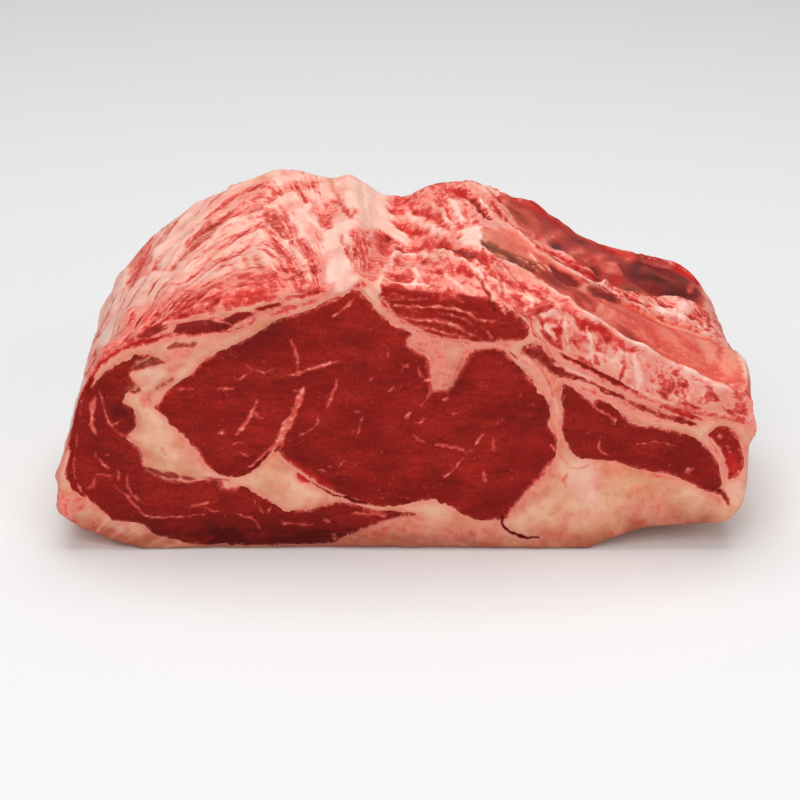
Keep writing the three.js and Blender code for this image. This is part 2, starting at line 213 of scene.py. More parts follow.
# Marks on the cut face: kind, width, points (x, z).
FACE_MARKS = [
    # veins of the eye muscle
    ("vein", 1.6, [(-66.5, 47.5), (-64, 50), (-61.5, 54.5), (-59.5, 59), (-58, 62.7)]),
    ("vein", 0.9, [(-58.8, 56.5), (-57.5, 54.8), (-56, 54.5)]),
    ("vein", 2.8, [(-50.4, 42), (-47.4, 50), (-44.6, 55.4), (-41, 63), (-40, 66.6)]),
    ("vein", 0.9, [(-44, 66), (-40, 66)]), ("vein", 0.9, [(-53, 42), (-50, 46)]),
    ("vein", 0.9, [(-49, 41), (-48, 47)]), ("vein", 1.6, [(-31, 58.4), (-28.5, 64.9), (-27, 69.5)]),
    ("vein", 0.7, [(-34.3, 55.3), (-34.6, 52.6), (-37, 49.5), (-39, 47.7), (-42, 47)]),
    ("vein", 0.7, [(-22, 47.8), (-20, 47.8)]), ("vein", 0.8, [(-19.3, 45.5), (-18, 48.5), (-17, 53.5)]),
    ("vein", 0.8, [(-20, 56.3), (-18, 56.2)]),
    ("vein", 1.8, [(-44.5, 87), (-43, 83.5), (-42, 79.5), (-42, 73)]),
    ("vein", 1.4, [(-46.5, 72.3), (-43.5, 72), (-38, 74.6), (-33, 76), (-28.5, 77.6), (-24, 76.4)]),
    ("vein", 0.9, [(-62, 77), (-60, 74), (-54, 73.3), (-51, 74.7)]),
    ("vein", 0.9, [(-67, 71.6), (-65, 70.7), (-60, 73.5)]), ("vein", 0.9, [(-73, 66.4), (-67, 66.8)]),
    ("vein", 0.7, [(-89, 65.7), (-83, 66.5)]), ("vein", 1.2, [(-73.5, 47.8), (-71, 48)]),
    ("vein", 0.8, [(-68, 43), (-65.5, 43.5)]), ("vein", 0.5, [(-65.5, 39.5), (-63, 38), (-61.5, 37.7)]),
    ("vein", 1.1, [(12, 42.6), (16, 42), (20, 41.4), (22.5, 40), (24, 38.3)]),
    ("vein", 0.8, [(24.5, 39.5), (26, 40)]),
    ("vein", 0.6, [(22.5, 37), (20.5, 33.5), (18, 31), (15, 29.3)]),
    ("vein", 1.3, [(-0.2, 54), (2, 56.5)]), ("vein", 0.7, [(3, 52.2), (5.5, 52.5), (7.8, 54)]),
    ("vein", 0.7, [(3, 47), (5.5, 44.8), (8, 43.5)]),
    ("vein", 0.7, [(11, 65.3), (8.5, 63), (6.5, 60.7), (6, 58.8)]),
    ("vein", 1.0, [(14.5, 61.5), (16.8, 62.2)]), ("vein", 1.2, [(34, 45.3), (34.2, 40.2)]),
    ("vein", 0.8, [(27.3, 43), (29.7, 47)]), ("vein", 1.1, [(30.5, 30.8), (31.5, 27)]),
    ("vein", 0.9, [(48, 59.3), (50.5, 59.2)]), ("vein", 1.3, [(-31, 33.8), (-29, 33.9)]),
    ("vein", 0.8, [(-26.7, 33), (-24.5, 35.5)]), ("vein", 0.7, [(-35, 32.5), (-31, 31)]),
    ("vein", 0.8, [(-1.8, 77), (1, 75.7)]), ("vein", 0.8, [(4.7, 75), (6, 71.5)]),
    ("vein", 0.8, [(7, 69.7), (9.5, 69.8)]), ("vein", 0.7, [(-7, 65.3), (-4.5, 67.6)]),
    ("vein", 1.3, [(-28.5, 96), (-24, 98.5), (-19.5, 102)]),
    ("vein", 0.8, [(-14.5, 69.3), (-12.5, 70.8)]), ("vein", 0.7, [(-7, 81.5), (-7, 79)]),
    ("vein", 1.0, [(36, 52)]), ("vein", 0.8, [(18, 55.6), (20, 55.6)]), ("vein", 0.8, [(42, 28)]),
    # veins of the cap muscle
    ("vein", 2.0, [(-121.3, 63), (-122.8, 57), (-122.6, 51), (-122, 47.5)]),
    ("vein", 0.8, [(-119.3, 65), (-117.5, 58), (-116.5, 53), (-113.5, 48.5), (-110, 46), (-107, 45)]),
    ("vein", 0.7, [(-115.5, 51.5), (-113, 51.8), (-111.5, 53)]),
    ("vein", 0.8, [(-122, 38.7), (-119, 34), (-117, 32.6)]),
    ("vein", 0.8, [(-118.5, 38), (-115.8, 39.3)]), ("vein", 0.8, [(-122, 30.3), (-116.7, 29.2)]),
    ("vein", 1.0, [(-122.7, 28), (-123.5, 25), (-125.8, 24)]),
    ("vein", 1.1, [(-115.5, 26.5), (-113, 23), (-111, 21.5), (-108, 17), (-104.5, 13.3), (-101, 11),
                   (-94, 11.6), (-87, 12.2), (-80, 13.2)]),
    ("vein", 0.9, [(-109.3, 31), (-110, 27.5), (-109.5, 23.5), (-107, 20), (-103.5, 17.3)]),
    ("vein", 0.6, [(-113, 32), (-112.8, 30), (-113.8, 27.5)]),
    ("vein", 1.1, [(-84.5, 17), (-81, 17.5), (-78, 17.8)]),
    ("vein", 0.9, [(-80, 16), (-77, 14.6), (-73.5, 13.8)]),
    ("vein", 0.9, [(-67.5, 13.5), (-64, 11.8), (-61, 11.3), (-59, 9.5), (-57.5, 6.5), (-55.5, 4)]),
    ("vein", 0.7, [(-60, 18.8), (-58, 15.3), (-56.5, 14)]), ("vein", 0.7, [(-53.8, 16), (-54.3, 13.5)]),
    ("vein", 1.3, [(-49, 9.3), (-44, 8.8), (-37, 8)]), ("vein", 1.2, [(-33, 10.2), (-29.5, 9.8)]),
    ("vein", 1.2, [(-22, 13.4), (-15, 12.7), (-8, 12.2)]), ("vein", 2.6, [(-28.5, 2.8)]),
    # the muscles among the ribs
    ("vein", 1.1, [(72, 60.5), (75, 57.2), (79.5, 55.8), (81.8, 53), (82, 51)]),
    ("vein", 0.9, [(79, 37.8), (76.5, 39.5), (75.6, 42.5), (75.8, 45)]),
    ("vein", 0.5, [(91, 43.3), (98, 44.3), (105.5, 42.2)]), ("mauve", 3.0, [(110.5, 31), (112.5, 32)]),
    ("vein", 1.6, [(123, 46)]), ("vein", 1.2, [(126, 42.2)]), ("vein", 1.2, [(127, 40)]),
    ("blood", 4.0, [(128, 38), (130, 29)]),
    ("dark", 1.3, [(122, 23), (125.5, 21.5), (127, 19), (128.5, 16.5)]),
    # stripes of the upper muscle, and the fold beside it
    ("pink", 0.8, [(-4, 101), (5, 100.5), (14, 100.3), (20, 99.3), (25, 97.5), (28, 95), (34, 94.7)]),
    ("pink", 0.8, [(-2, 96), (4, 94.7), (10, 95), (18, 93), (23, 90), (27, 88)]),
    ("pink", 0.8, [(31, 91), (33, 87.5)]), ("vein", 0.8, [(-9, 104), (0, 103.6), (8, 103.8)]),
    ("vein", 0.7, [(2, 92.6), (10, 91), (18, 88.6), (22, 87.6)]),
    ("vein", 0.7, [(16, 97.4), (22, 95.4), (26, 93)]), ("red", 2.4, [(-8, 105), (2, 104.6)]),
    ("red", 2.4, [(10, 103.4), (22, 102.6)]), ("lean", 3, [(20, 104.6), (28, 105)]),
    ("blood", 2, [(4, 88.6), (14, 86.4), (24, 85.2)]),
    ("crack", 2.2, [(25, 117), (29, 112), (32, 105), (34, 99)]),
    ("cream", 1.2, [(30, 114), (34, 106), (38, 98)]),
    # lean let into the side layer and its fat
    ("lean", 0, [(-90, 89.6), (-88.5, 92.6), (-84, 94.6), (-76, 95), (-70, 94), (-67.5, 91.8),
                 (-70, 89.6), (-76, 89.8), (-82, 88.6)]),
    ("pink", 0.9, [(-93, 93.6), (-85, 95.8), (-76, 96.2), (-70, 95)]),
    ("pink", 0.9, [(-73, 97.6), (-64, 99.7), (-57, 99)]),
    ("blood", 1.8, [(-108, 86.4), (-98, 93), (-88, 97), (-78, 99.6)]),
    ("blood", 1.6, [(-70, 101.6), (-60, 103.4)]),
    ("lean", 0, [(-72, 95.6), (-66, 97.6), (-60, 98.8), (-57.8, 97), (-59, 94), (-64, 92.2), (-69, 94)]),
    ("lean", 0, [(-105.6, 87.4), (-103, 90.8), (-97, 92.6), (-91.6, 93.4), (-92, 91), (-97, 89),
                 (-102, 87.4)]),
    ("blood", 2.4, [(-112, 85), (-103, 92), (-94, 95.4), (-84, 98.6), (-74, 101)]),
    ("blood", 2.2, [(-68, 101), (-58, 103.4), (-50, 104.6)]),
    ("red", 1.6, [(-98, 95), (-90, 97), (-82, 98.5), (-76, 100)]),
    ("blood", 2.4, [(-126, 65.5), (-119, 76.5), (-110, 83.7), (-103, 85.8), (-97, 86.3)]),
    ("peach", 1.4, [(-74, 97.2), (-66, 98.8), (-60, 100.4), (-55, 103)]),
    ("lean", 0, [(-58, 99.6), (-54, 101.6), (-49, 102.6), (-46.6, 101.4), (-50, 99.4), (-55, 98.6)]),
    ("red", 2, [(-46, 103.5), (-40, 104.6), (-34, 106)]),
    ("lean", 0, [(-121.6, 72), (-128, 69), (-134, 62), (-137, 50), (-136, 44), (-132, 40), (-134.5, 30),
                 (-131.5, 23), (-127, 20), (-125, 40), (-124, 60)]),
    ("ruddy", 0, [(-105, 66), (-99, 76), (-88, 83), (-74, 87), (-66, 90), (-80, 80), (-92, 70),
                  (-98, 61)]),
    ("tallow", 3, [(-100, 73), (-95, 75), (-90, 80)]), ("tallow", 2, [(-102, 66), (-97, 68)]),
    # the torn flesh in front of the near bone
    ("blood", 3.4, [(64, 96), (70, 93), (78, 88.4), (88, 82)]), ("blood", 2.6, [(57, 91), (61, 89.5)]),
    ("red", 2.6, [(52, 90.5), (56, 87), (60, 83)]), ("red", 2, [(54, 94), (57.5, 95)]),
    ("rosy", 3.6, [(64.5, 91), (67.5, 87), (68, 82)]), ("red", 1.6, [(64, 88), (65.5, 84)]),
    ("rosy", 3.4, [(73, 88), (76, 84), (77, 80)]), ("rosy", 3, [(79, 86), (81, 82)]),
    ("red", 2.6, [(67.5, 79), (71.5, 76)]), ("red", 1.6, [(60, 81), (64, 78)]),
    ("red", 1.6, [(84, 80), (84.6, 75), (83.5, 70)]), ("cream", 1.2, [(70, 92), (71.5, 86), (72, 79)]),
    ("cream", 1.2, [(61, 94), (61.8, 88), (63, 83)]), ("cream", 1.0, [(51, 96), (55, 91.5), (58, 87)]),
    ("red", 2.4, [(51, 101), (52.5, 98)]), ("red", 2, [(51.4, 96), (53, 92)]),
    ("rosy", 2.6, [(46, 104), (47.5, 98)]), ("rosy", 2.4, [(93, 76), (95, 70)]),
    ("cream", 3, [(88, 80), (91, 72), (90, 66)]),
    ("cream", 1.3, [(50, 91), (56, 84), (66, 77.4), (80, 70), (94, 63.4), (104, 60)]),
    ("red", 1.5, [(61, 78.6), (72, 73.4), (84, 67.2), (93, 62.6)]),
    ("cream", 1.2, [(58, 77), (70, 71), (82, 65.4), (92, 61.4)]), ("red", 1.6, [(118, 65), (122.5, 60)]),
    ("red", 1.4, [(123, 58.5), (127, 56)]), ("red", 1.8, [(131.5, 60), (133.5, 55)]),
    ("red", 1.2, [(96, 66), (102, 62.6)]), ("red", 1.2, [(108, 60.4), (115, 57.6)]),
    # seams and cracks
    ("crack", 1.0, [(-49, 38), (-43, 32), (-37, 27), (-30, 22), (-22, 18.5), (-12, 16.3)]),
    ("blood", 3.4, [(-43, 29.6), (-39, 27.6)]), ("crack", 0.9, [(-52, 41), (-56, 36), (-61, 31.5)]),
    ("blood", 1.6, [(-47.4, 37.6), (-42, 33), (-36, 28.4), (-29, 24)]),
    ("cream", 0.9, [(-50, 38), (-46, 34), (-40, 29.4), (-33, 24.6), (-25, 20.6)]),
    ("vein", 1.0, [(-53, 41.6), (-57, 37.4), (-62, 33)]), ("dark", 1.6, [(-51.4, 43), (-51, 40)]),
    ("vein", 1.2, [(-53.4, 38), (-50.4, 44), (-47, 49)]),
    ("crack", 1.3, [(38.8, 11), (38.5, 8.7), (39.3, 6.5), (41, 4.8), (44, 3.7), (48, 2.6), (53, 2.2)]),
    ("crack", 0.8, [(40.5, 81.5), (43, 78.5)]),
    ("crack", 0.8, [(43.5, 79.8), (46, 77.5), (49, 75.5), (51, 73.5), (52.5, 71)]),
    ("brown", 0.6, [(-97, 66.5), (-94, 68), (-91, 70)]), ("brown", 0.6, [(-101.5, 62), (-100, 63.5)]),
    ("salmon", 2.2, [(-101.5, 60.5)]), ("blood", 3.0, [(3.5, 85.5), (8, 85.8)]),
    ("bruise", 4.6, [(-106, 75), (-101, 77), (-95, 77.6)]),
    ("bruise", 2.4, [(-92, 83.6), (-88, 84.6), (-82, 85)]), ("bruise", 4.0, [(-109, 66), (-104, 66)]),
    ("bruise", 2.6, [(-103, 32), (-97, 30), (-90, 28.6), (-84, 28)]),
    ("bruise", 1.4, [(-105, 40), (-104, 36)]), ("salmon", 2.4, [(-103, 62), (-100, 63.4)]),
    ("bruise", 1.4, [(-80, 28.4), (-70, 27)]),
    # fibres of fat between the muscles
    ("pink", 2.0, [(-15, 104.4), (-9.5, 99.4), (-4.6, 94.6), (2, 91), (10, 87), (20, 84.6), (34, 83.8),
                   (42, 82)]),
    ("pink", 2.6, [(43, 80), (50, 73.6), (55, 66), (58.6, 56), (60.4, 48)]),
    ("cream", 1.0, [(46, 79.4), (53, 72.4), (57.6, 64), (60, 54)]),
    ("pink", 2.4, [(50, 87), (58, 80), (68, 74.6), (80, 67.6), (94, 61), (108, 55.6), (120, 51.8)]),
    ("pink", 2.4, [(62, 69.6), (72, 64), (84, 60), (92, 54.4), (104, 51)]),
    ("veinlet", 0.7, [(52, 75), (56, 68.5), (57.5, 63)]),
    ("veinlet", 0.7, [(64, 69), (74, 64.4), (86, 58.6)]),
    ("lean", 1.4, [(60, 80.6), (70, 75.6), (80, 70), (90, 65)]),
    ("lean", 1.2, [(92, 57.4), (102, 54), (114, 50.4)]),
    ("red", 1.4, [(100, 58.6), (108, 55.4), (117, 52)]), ("blood", 1.6, [(105, 57), (111, 54.4)]),
    ("pink", 2.2, [(117.4, 46), (121.6, 42), (125, 34), (125.8, 26)]),
    ("veinlet", 0.9, [(62.4, 23), (63.4, 25.5), (62.2, 28), (63, 30)]),
    ("veinlet", 0.6, [(65, 33), (69, 32.4), (72, 34)]), ("veinlet", 0.5, [(57, 42), (60, 38), (64, 35)]),
    ("veinlet", 0.5, [(96, 30), (99, 28.6), (103, 29)]),
    ("tallow", 0, [(70, 16), (73, 23), (80, 23.5), (83, 17), (79, 13), (74, 12)]),
    ("tallow", 4, [(86, 14), (92, 12)]), ("tallow", 4, [(97, 22), (104, 20)]),
    ("tallow", 4, [(-96, 44), (-92, 38)]), ("tallow", 3, [(-99, 70), (-95, 73)]),
    ("tallow", 3, [(-66, 26), (-72, 25)]), ("tallow", 3, [(-40, 23), (-30, 19)]),
    ("pink", 4.0, [(-66, 92), (-56, 96.6), (-44, 100.6), (-33, 104.6)]),
    ("rosy", 1.4, [(-52, 97), (-42, 100), (-34, 102.6)]),
    ("pink", 2.0, [(-100, 83), (-90, 87), (-78, 88.6), (-68, 90)]),
    ("salmon", 2.0, [(-92, 80), (-84, 82)]),
    ("cream", 0, [(-31, 106), (-25, 112), (-12, 112), (-9, 106), (-12, 103), (-17, 106), (-25, 105.6)]),
    ("blood", 1.8, [(-20, 106.4), (-15, 107.4)]), ("blood", 1.6, [(-9, 101.6), (-6, 99)]),
    # stains on the fat
    ("ruddy", 0, [(-24, 3), (-8, 9), (6, 11.6), (22, 9), (36, 7), (38, -3), (-30, -3)]),
    ("salmon", 3.4, [(12, 3), (26, 4)]), ("salmon", 2.4, [(-2, 5), (6, 6.4)]),
    ("ruddy", 0, [(-141, 26), (-133, 22), (-126, 13), (-117, 6), (-106, 1), (-104, -4), (-122, -4),
                  (-141, 8)]),
    ("salmon", 3.4, [(-136, 20), (-134, 13)]), ("salmon", 3, [(-131, 8), (-126, 4)]),
    ("tallow", 3, [(-131, 15), (-126, 10)]), ("salmon", 4.0, [(-124, 9)]),
    ("salmon", 3.0, [(-116, 4), (-113, 1)]), ("tallow", 2.6, [(-118, 7), (-112, 4)]),
    ("ruddy", 0, [(2, 88), (1, 84), (9, 79), (10, 66), (17, 66), (24, 82), (22, 86)]),
    ("salmon", 2, [(19, 72), (24, 82)]), ("salmon", 1.6, [(4, 86.4), (12, 83)]),
    ("salmon", 3.4, [(12, 83), (14.6, 72)]), ("salmon", 2.4, [(91, 24)]),
    ("salmon", 2.2, [(80, 3), (88, 4.6), (98, 6)]), ("ruddy", 6, [(44, 14), (52, 22), (58, 33)]),
]

# Where the lean of the face is darker: by how much, how wide, and where.
FACE_SHADES = [
    (0.4, 5, [(17, 66), (20, 74)]), (0.45, 7, [(-64, 86), (-52, 92)]), (0.3, 5, [(46, 52), (54, 57)]),
    # painted shade: these two bands along the bottom edge darken the lean where the face turns under, away
    # from the light
    (0.45, 7, [(-75, 2), (-50, 1), (-25, 4)]), (0.3, 8, [(-100, 6), (-75, 4)]),
    (0.25, 8, [(20, 14), (44, 20)]), (0.2, 6, [(-30, 26), (0, 19)]), (0.3, 5, [(-113, 60), (-108, 52)]),
]

# Marks on the upper side, seen from above: kind, width, points (x, y).
TOP_MARKS = [
    # the side layer, from the left edge to the ridge
    ("membrane", 5, [(-127, -50), (-127, -25), (-127, 0)]),
    ("membrane", 7, [(-135, -50), (-135, 0), (-134, 40)]), ("lean", 4.4, [(-130, -62), (-129.6, -49)]),
    ("mauve", 1.2, [(-133, -40), (-132, 20)]), ("mauve", 4, [(-120, 22), (-122, 10), (-125, -2)]),
    ("mauve", 2.4, [(-125, -2), (-122, -20)]), ("membrane", 8, [(-118, -50), (-118, -30), (-117, -10)]),
    ("mauve", 1.2, [(-116, -52), (-110, -34)]), ("mauve", 2.2, [(-113, 6), (-111, 16)]),
    ("flush", 10, [(-111, 58), (-112, 35), (-109, 12)]), ("flush", 5, [(-111, 54), (-112, 34)]),
    ("flush", 3, [(-107, 30), (-105, 16)]), ("cream", 3.5, [(-115, 15), (-116, 50)]),
    ("mauve", 2, [(-103, 8), (-100, 0)]), ("mauve", 5, [(-97, -1), (-93, -5)]),
    ("mauve", 2.4, [(-99, -9), (-103, -17)]), ("mauve", 6, [(-90, 10), (-84, 16), (-79, 25), (-72, 31)]),
    ("rosy", 4.5, [(-76, 29), (-66, 28), (-54, 31)]), ("mauve", 1.6, [(-82, 42), (-77, 50), (-75, 56)]),
    ("rosy", 2.2, [(-96, -22), (-90, -25), (-84, -19), (-80, -12), (-76, -2), (-70, 8)]),
    ("red", 3, [(-101, -56), (-97, -42)]), ("red", 4, [(-89, -56), (-86, -48)]),
    ("red", 4, [(-75, -56), (-72, -45)]), ("rosy", 3, [(-74, -25), (-71, -12)]),
    ("pink", 12, [(-64, 34), (-60, 50)]), ("rosy", 8, [(-54, 34), (-38, 42)]),
    ("rosy", 1.6, [(-58, 20), (-54, 12), (-47, -5), (-42, -14)]),
    ("rosy", 1.4, [(-52, 25), (-47, 8), (-43, -8)]), ("mauve", 1.2, [(-55, 22), (-50, 8), (-44, -11)]),
    ("mauve", 1.6, [(-42, -14), (-38, -28), (-35, -42), (-33, -52)]),
    ("red", 2.6, [(-36, -30), (-33.5, -50)]), ("rosy", 1.6, [(-40, 7), (-36, 0), (-33, -12)]),
    ("red", 1.0, [(-35, 6), (-31, 1)]), ("rosy", 1.8, [(-57, -10), (-50, -25), (-46, -40), (-42, -52)]),
    ("mauve", 2.6, [(-60, -18), (-56, -35)]), ("rosy", 2, [(-65, -12), (-62, -28)]),
    ("rosy", 1.4, [(-70, -20), (-66, -28)]), ("blood", 5, [(-70, -55), (-54, -54)]),
    ("cream", 1.8, [(-60, 8), (-50, -10), (-44, -28), (-36, -50)]),
    ("cream", 2.4, [(-46, 22), (-40, 10), (-34, -2), (-30, -15)]),
    ("cream", 1.2, [(-62, -5), (-56, -20), (-50, -38)]),
    ("cream", 1.2, [(-55, 10), (-47, -10), (-40, -30), (-36, -46)]),
    ("rosy", 5, [(-42, -8), (-38, -20), (-35, -34), (-33, -48)]),
    ("mauve", 2.4, [(-58, 22), (-53, 8), (-48, -4)]),
    ("rosy", 3.4, [(-56, 4), (-50, -12), (-45, -28), (-41, -44)]),
    ("mauve", 5, [(-92, 0), (-86, 10), (-80, 20)]),
    ("rosy", 3.4, [(-48, 38), (-40, 28), (-34, 12), (-30, 0)]),
    ("cream", 1.4, [(-46, 12), (-40, -6), (-36, -22)]), ("rosy", 1.6, [(-64, 12), (-74, -2), (-84, -14)]),
    ("rosy", 1.2, [(-60, 4), (-68, -10), (-76, -24)]), ("cream", 3, [(-41, 14), (-39, 24)]),
    ("cream", 1.4, [(-74, 22), (-66, 21), (-60, 17), (-55, 8)]),
    ("cream", 1.4, [(-88, -12), (-82, 4), (-76, 18), (-70, 24)]),
    ("cream", 1.2, [(-102, -20), (-94, 4), (-88, 22)]), ("rosy", 6, [(-33, 2), (-30, 28)]),
    ("mauve", 2, [(-32, 55), (-28, 30), (-22, 5)]),
    # the fat ridge
    ("cream", 8, [(-26, -57), (-26, -30), (-28, -12), (-26, 0)]),
    ("cream", 9, [(-18, -2), (-13, 25), (-12, 40), (-16, 57)]),
    ("mauve", 0.9, [(-26, -10), (-23, -30), (-21, -45)]), ("pink", 4, [(-19, -38), (-19, -55)]),
    ("red", 3.6, [(-18, -26), (-20, -8)]), ("red", 1.2, [(-22, 5), (-20, 18)]),
    ("red", 2, [(-14, -35), (-15, -45)]),
    # the valley: its upper part
    ("cream", 0, [(-13, 52), (-9, 44), (-9, 33), (-5, 31), (-4, 24), (0, 20), (1, 12), (-3, 9), (-9, 10),
                  (-14, 12), (-16, 30), (-15, 50)]),
    ("rosy", 9, [(-5, 48), (3, 45)]), ("red", 6.4, [(-6, 41), (-1, 38)]),
    ("red", 4.4, [(-5, 29.4), (-1, 25)]), ("cream", 3.6, [(1, 37), (5, 26), (8, 16), (12, 6), (17, -3)]),
    ("cream", 1.8, [(10, 36), (14, 24), (17, 12), (20, 1)]),
    ("blood", 3.2, [(-1, 25), (2, 20), (5, 14), (8, 10)]), ("rosy", 2.4, [(8, 10), (11, 4), (15, -3)]),
    ("red", 1.6, [(2, 40), (8, 30), (12, 19), (16, 6)]),
    ("rosy", 1.2, [(6, 38), (10, 30), (14, 18), (17.6, 5)]), ("red", 1.4, [(12, 38), (16, 24), (19, 10)]),
    ("pink", 5, [(20, 33), (23, 20), (24, 8)]), ("cream", 2.6, [(18, 34), (21, 20), (22.6, 6)]),
    ("rosy", 1.2, [(23, 24), (25, 10)]), ("blood", 5, [(19, 45), (25, 35), (29, 28), (31, 20)]),
    ("dark", 2.8, [(26, 33), (30, 24), (33, 13), (36, 8)]), ("rosy", 6, [(34, 34), (38, 24), (43, 15)]),
    ("red", 2.6, [(36, 31), (39, 22)]), ("red", 2, [(41, 20), (44, 14)]),
    ("cream", 2, [(32, 48), (35, 38)]), ("red", 2.4, [(38, 46), (39, 36)]),
    ("cream", 1.6, [(30, 32), (34, 22)]), ("cream", 5, [(0, 13), (0, 7)]),
    ("dark", 4, [(-1.8, 1.4), (-1.2, -2)]), ("red", 5.4, [(-8.6, 9), (-8.6, -18)]),
    ("dark", 2.4, [(-6.4, 10), (-7, 5)]), ("rosy", 1.2, [(-11, 6), (-12, -12)]),
    ("cream", 1.2, [(-13.4, 6), (-15, -12)]),
    # the arch of fat below it
    ("rosy", 0, [(-4.4, -10), (-1, -5), (3, -4.4), (7, -9), (9, -16), (10, -30), (-5, -32)]),
    ("pink", 2.4, [(1, -32), (1, -9)]), ("red", 2.0, [(-3, -26), (-3, -10)]),
    ("pink", 1.6, [(4.6, -30), (4.4, -11)]), ("red", 2.0, [(7.6, -28), (6.8, -12)]),
    ("red", 4.4, [(3, 3), (8, 0), (13, -6), (16, -15), (19, -25)]),
    ("cream", 1.9, [(-5, -30), (-5.4, -19), (-4.6, -9), (-2, -4.4), (1.5, -3), (6, -6), (9.4, -12),
                    (12, -20), (15, -27)]),
    ("red", 0, [(16, -16), (20, -23), (27, -27), (35, -28), (34, -34), (26, -35), (20, -31)]),
    ("dark", 2.6, [(18, -21), (22, -27), (28, -31)]),
    ("dark", 2.6, [(26, -38.6), (30, -44), (33, -52), (34, -58)]),
    ("cream", 1.8, [(11, -8), (14, -14), (16, -22), (18.8, -30), (25, -37), (29.4, -42), (33, -49),
                    (35, -57)]),
    ("cream", 1.0, [(27, -34), (33, -42), (37, -50)]), ("blood", 5, [(21, -38), (25, -42)]),
    ("cream", 0, [(20, -3), (27, -2), (30.6, 0), (30.6, -22), (26, -22.6), (22, -18)]),
    ("rosy", 2.8, [(21, -6), (21.6, -9)]),
    ("cream", 2.4, [(24, -20), (30, -24.4), (36, -26.4), (43, -27.4), (48, -30), (52, -35), (58, -43),
                    (66, -51)]),
    ("red", 8, [(-5, -41), (0, -46)]), ("blood", 5, [(-6, -53), (0, -54)]),
    ("rosy", 5, [(8, -44), (12, -50)]), ("cream", 1.6, [(-8, -37), (-9, -47), (-11, -57)]),
    ("cream", 1.6, [(3, -34), (4.6, -42), (3, -52)]), ("cream", 1.4, [(12, -34), (16, -43), (22, -50)]),
    ("cream", 1.2, [(-9, -48.6), (0, -50.4), (9, -50)]), ("red", 3.4, [(13, -54), (20, -53)]),
    ("red", 3.4, [(-18, -18), (-19, -34)]), ("red", 3, [(10, -36), (14, -40)]),
    ("rosy", 0, [(35, -30), (43, -30), (51, -36), (60, -46), (70, -55), (70, -60), (38, -60), (36, -44)]),
    ("cream", 1.0, [(38, -30), (40, -38), (38, -46), (42, -56)]),
    ("cream", 1.0, [(44, -31), (46, -40), (49, -48), (48, -58)]),
    ("cream", 1.0, [(40, -38), (46, -40), (52, -40)]),
    ("cream", 1.0, [(38, -46), (45, -46), (49, -48), (56, -47)]),
    ("cream", 1.0, [(56, -44), (58, -52), (62, -58)]), ("red", 3, [(38, -36), (41, -42)]),
    ("red", 2.6, [(44, -35), (47, -42)]), ("red", 2.6, [(42, -46), (45, -53)]),
    ("red", 2.4, [(50, -42), (54, -49)]), ("rosy", 3, [(38, -47), (39, -55)]),
    ("rosy", 3, [(51, -37), (56, -44)]),
    # the near rib bone
    ("blush", 0, [(30.6, 0), (33, 8), (38, 11.6), (44, 11), (48, 5), (43, 1), (37, -2)]),
    ("salmon", 0, [(38, 5), (46, 8), (50, 2), (50, -6), (44, -8), (37, -5)]),
    ("golden", 0, [(30.6, -3), (38, -5), (46, -8), (50, -9), (50, -18), (42, -19), (30.6, -18)]),
    # partly painted shade: this olive patch and the dark lines below it are darkened for the shade in the
    # hollow at the hub end of the near bone, over its olive-grey colour
    ("olive", 0, [(30, -16), (38, -17.4), (46, -18), (52, -18), (54, -25), (51, -30), (44, -27),
                  (36, -26), (30, -23)]),
    ("dark", 1.4, [(31, -19), (37, -21), (44, -22.6)]), ("dark", 1.6, [(46, -24), (52, -28)]),
    ("dark", 1.0, [(40, -24), (46, -26)]),
    ("umber", 0, [(50, -22), (57, -23), (64, -26), (64, -33), (57, -38), (51, -32)]),
    ("rosy", 4, [(54, -13), (56, -19)]),
    ("dark", 0, [(58, -12), (66, -11), (71, -14), (69, -21), (64, -26), (59, -24), (57, -17)]),
    ("brown", 0, [(74, -8), (84, -8), (87, -12), (81, -20), (74, -23), (71, -16)]),
    ("umber", 6, [(68, -27), (72, -34)]), ("membrane", 1.4, [(69, -25), (72, -15), (76.5, -8)]),
    ("cream", 1.6, [(49.6, -8), (50.4, -14), (52, -20)]), ("cream", 1.2, [(52, -21), (54.6, -26)]),
    ("cream", 1.3, [(47.6, -21)]), ("cream", 1.0, [(50.6, -24)]), ("cream", 1.0, [(46, -24.6)]),
    ("membrane", 1.6, [(44, -19.4), (48, -21.4)]), ("golden", 1.6, [(34, -22), (40, -24.4)]),
    ("dark", 1.4, [(49, -19), (51, -23)]), ("cream", 1.0, [(55.4, -17), (57, -23)]),
    ("cream", 0.9, [(51, -26), (53, -29)]), ("pink", 1.4, [(79, -21), (77, -33), (71, -46)]),
    ("pink", 1.0, [(82, -26), (80, -38), (76, -48)]), ("pink", 1.0, [(84, -30), (85, -42)]),
    ("red", 3.6, [(67, -34), (69, -46)]), ("red", 1.6, [(74, -38), (71, -48)]),
    ("flush", 6, [(88, -14), (98, -14), (108, -17)]), ("flush", 6, [(106, -22), (113, -36)]),
    ("flush", 3.4, [(94, -26), (99, -44)]), ("salmon", 7, [(102, -20), (106, -36)]),
    ("blush", 5, [(118, -18), (121, -34)]), ("flush", 3, [(78, -26), (90, -30)]),
    ("rosy", 6, [(86, -34), (90, -48)]), ("mauve", 3, [(92, -48), (100, -50)]),
    ("umber", 5, [(84, -46), (92, -51)]), ("pink", 12, [(127, -45), (129, -14)]),
    ("pink", 4, [(119, -40), (121, -14)]), ("rosy", 2, [(124, -34), (126, -14)]),
    ("cream", 2.4, [(66, -51), (72, -53), (84, -53.5), (104, -54), (126, -54)]),
    ("cream", 1.6, [(133, -50), (133, -12)]),
    ("cream", 1.4, [(88, -8), (98, -13), (112, -14.5), (122, -10)]),
    # between the bones
    ("blood", 0, [(50, 8), (58, 9), (70, 7), (78, 2), (76, -5), (62, -6), (52, -3)]),
    ("dark", 3.6, [(79, 0), (78, 14)]), ("pink", 1.2, [(56, 3), (62, 4), (70, 1)]),
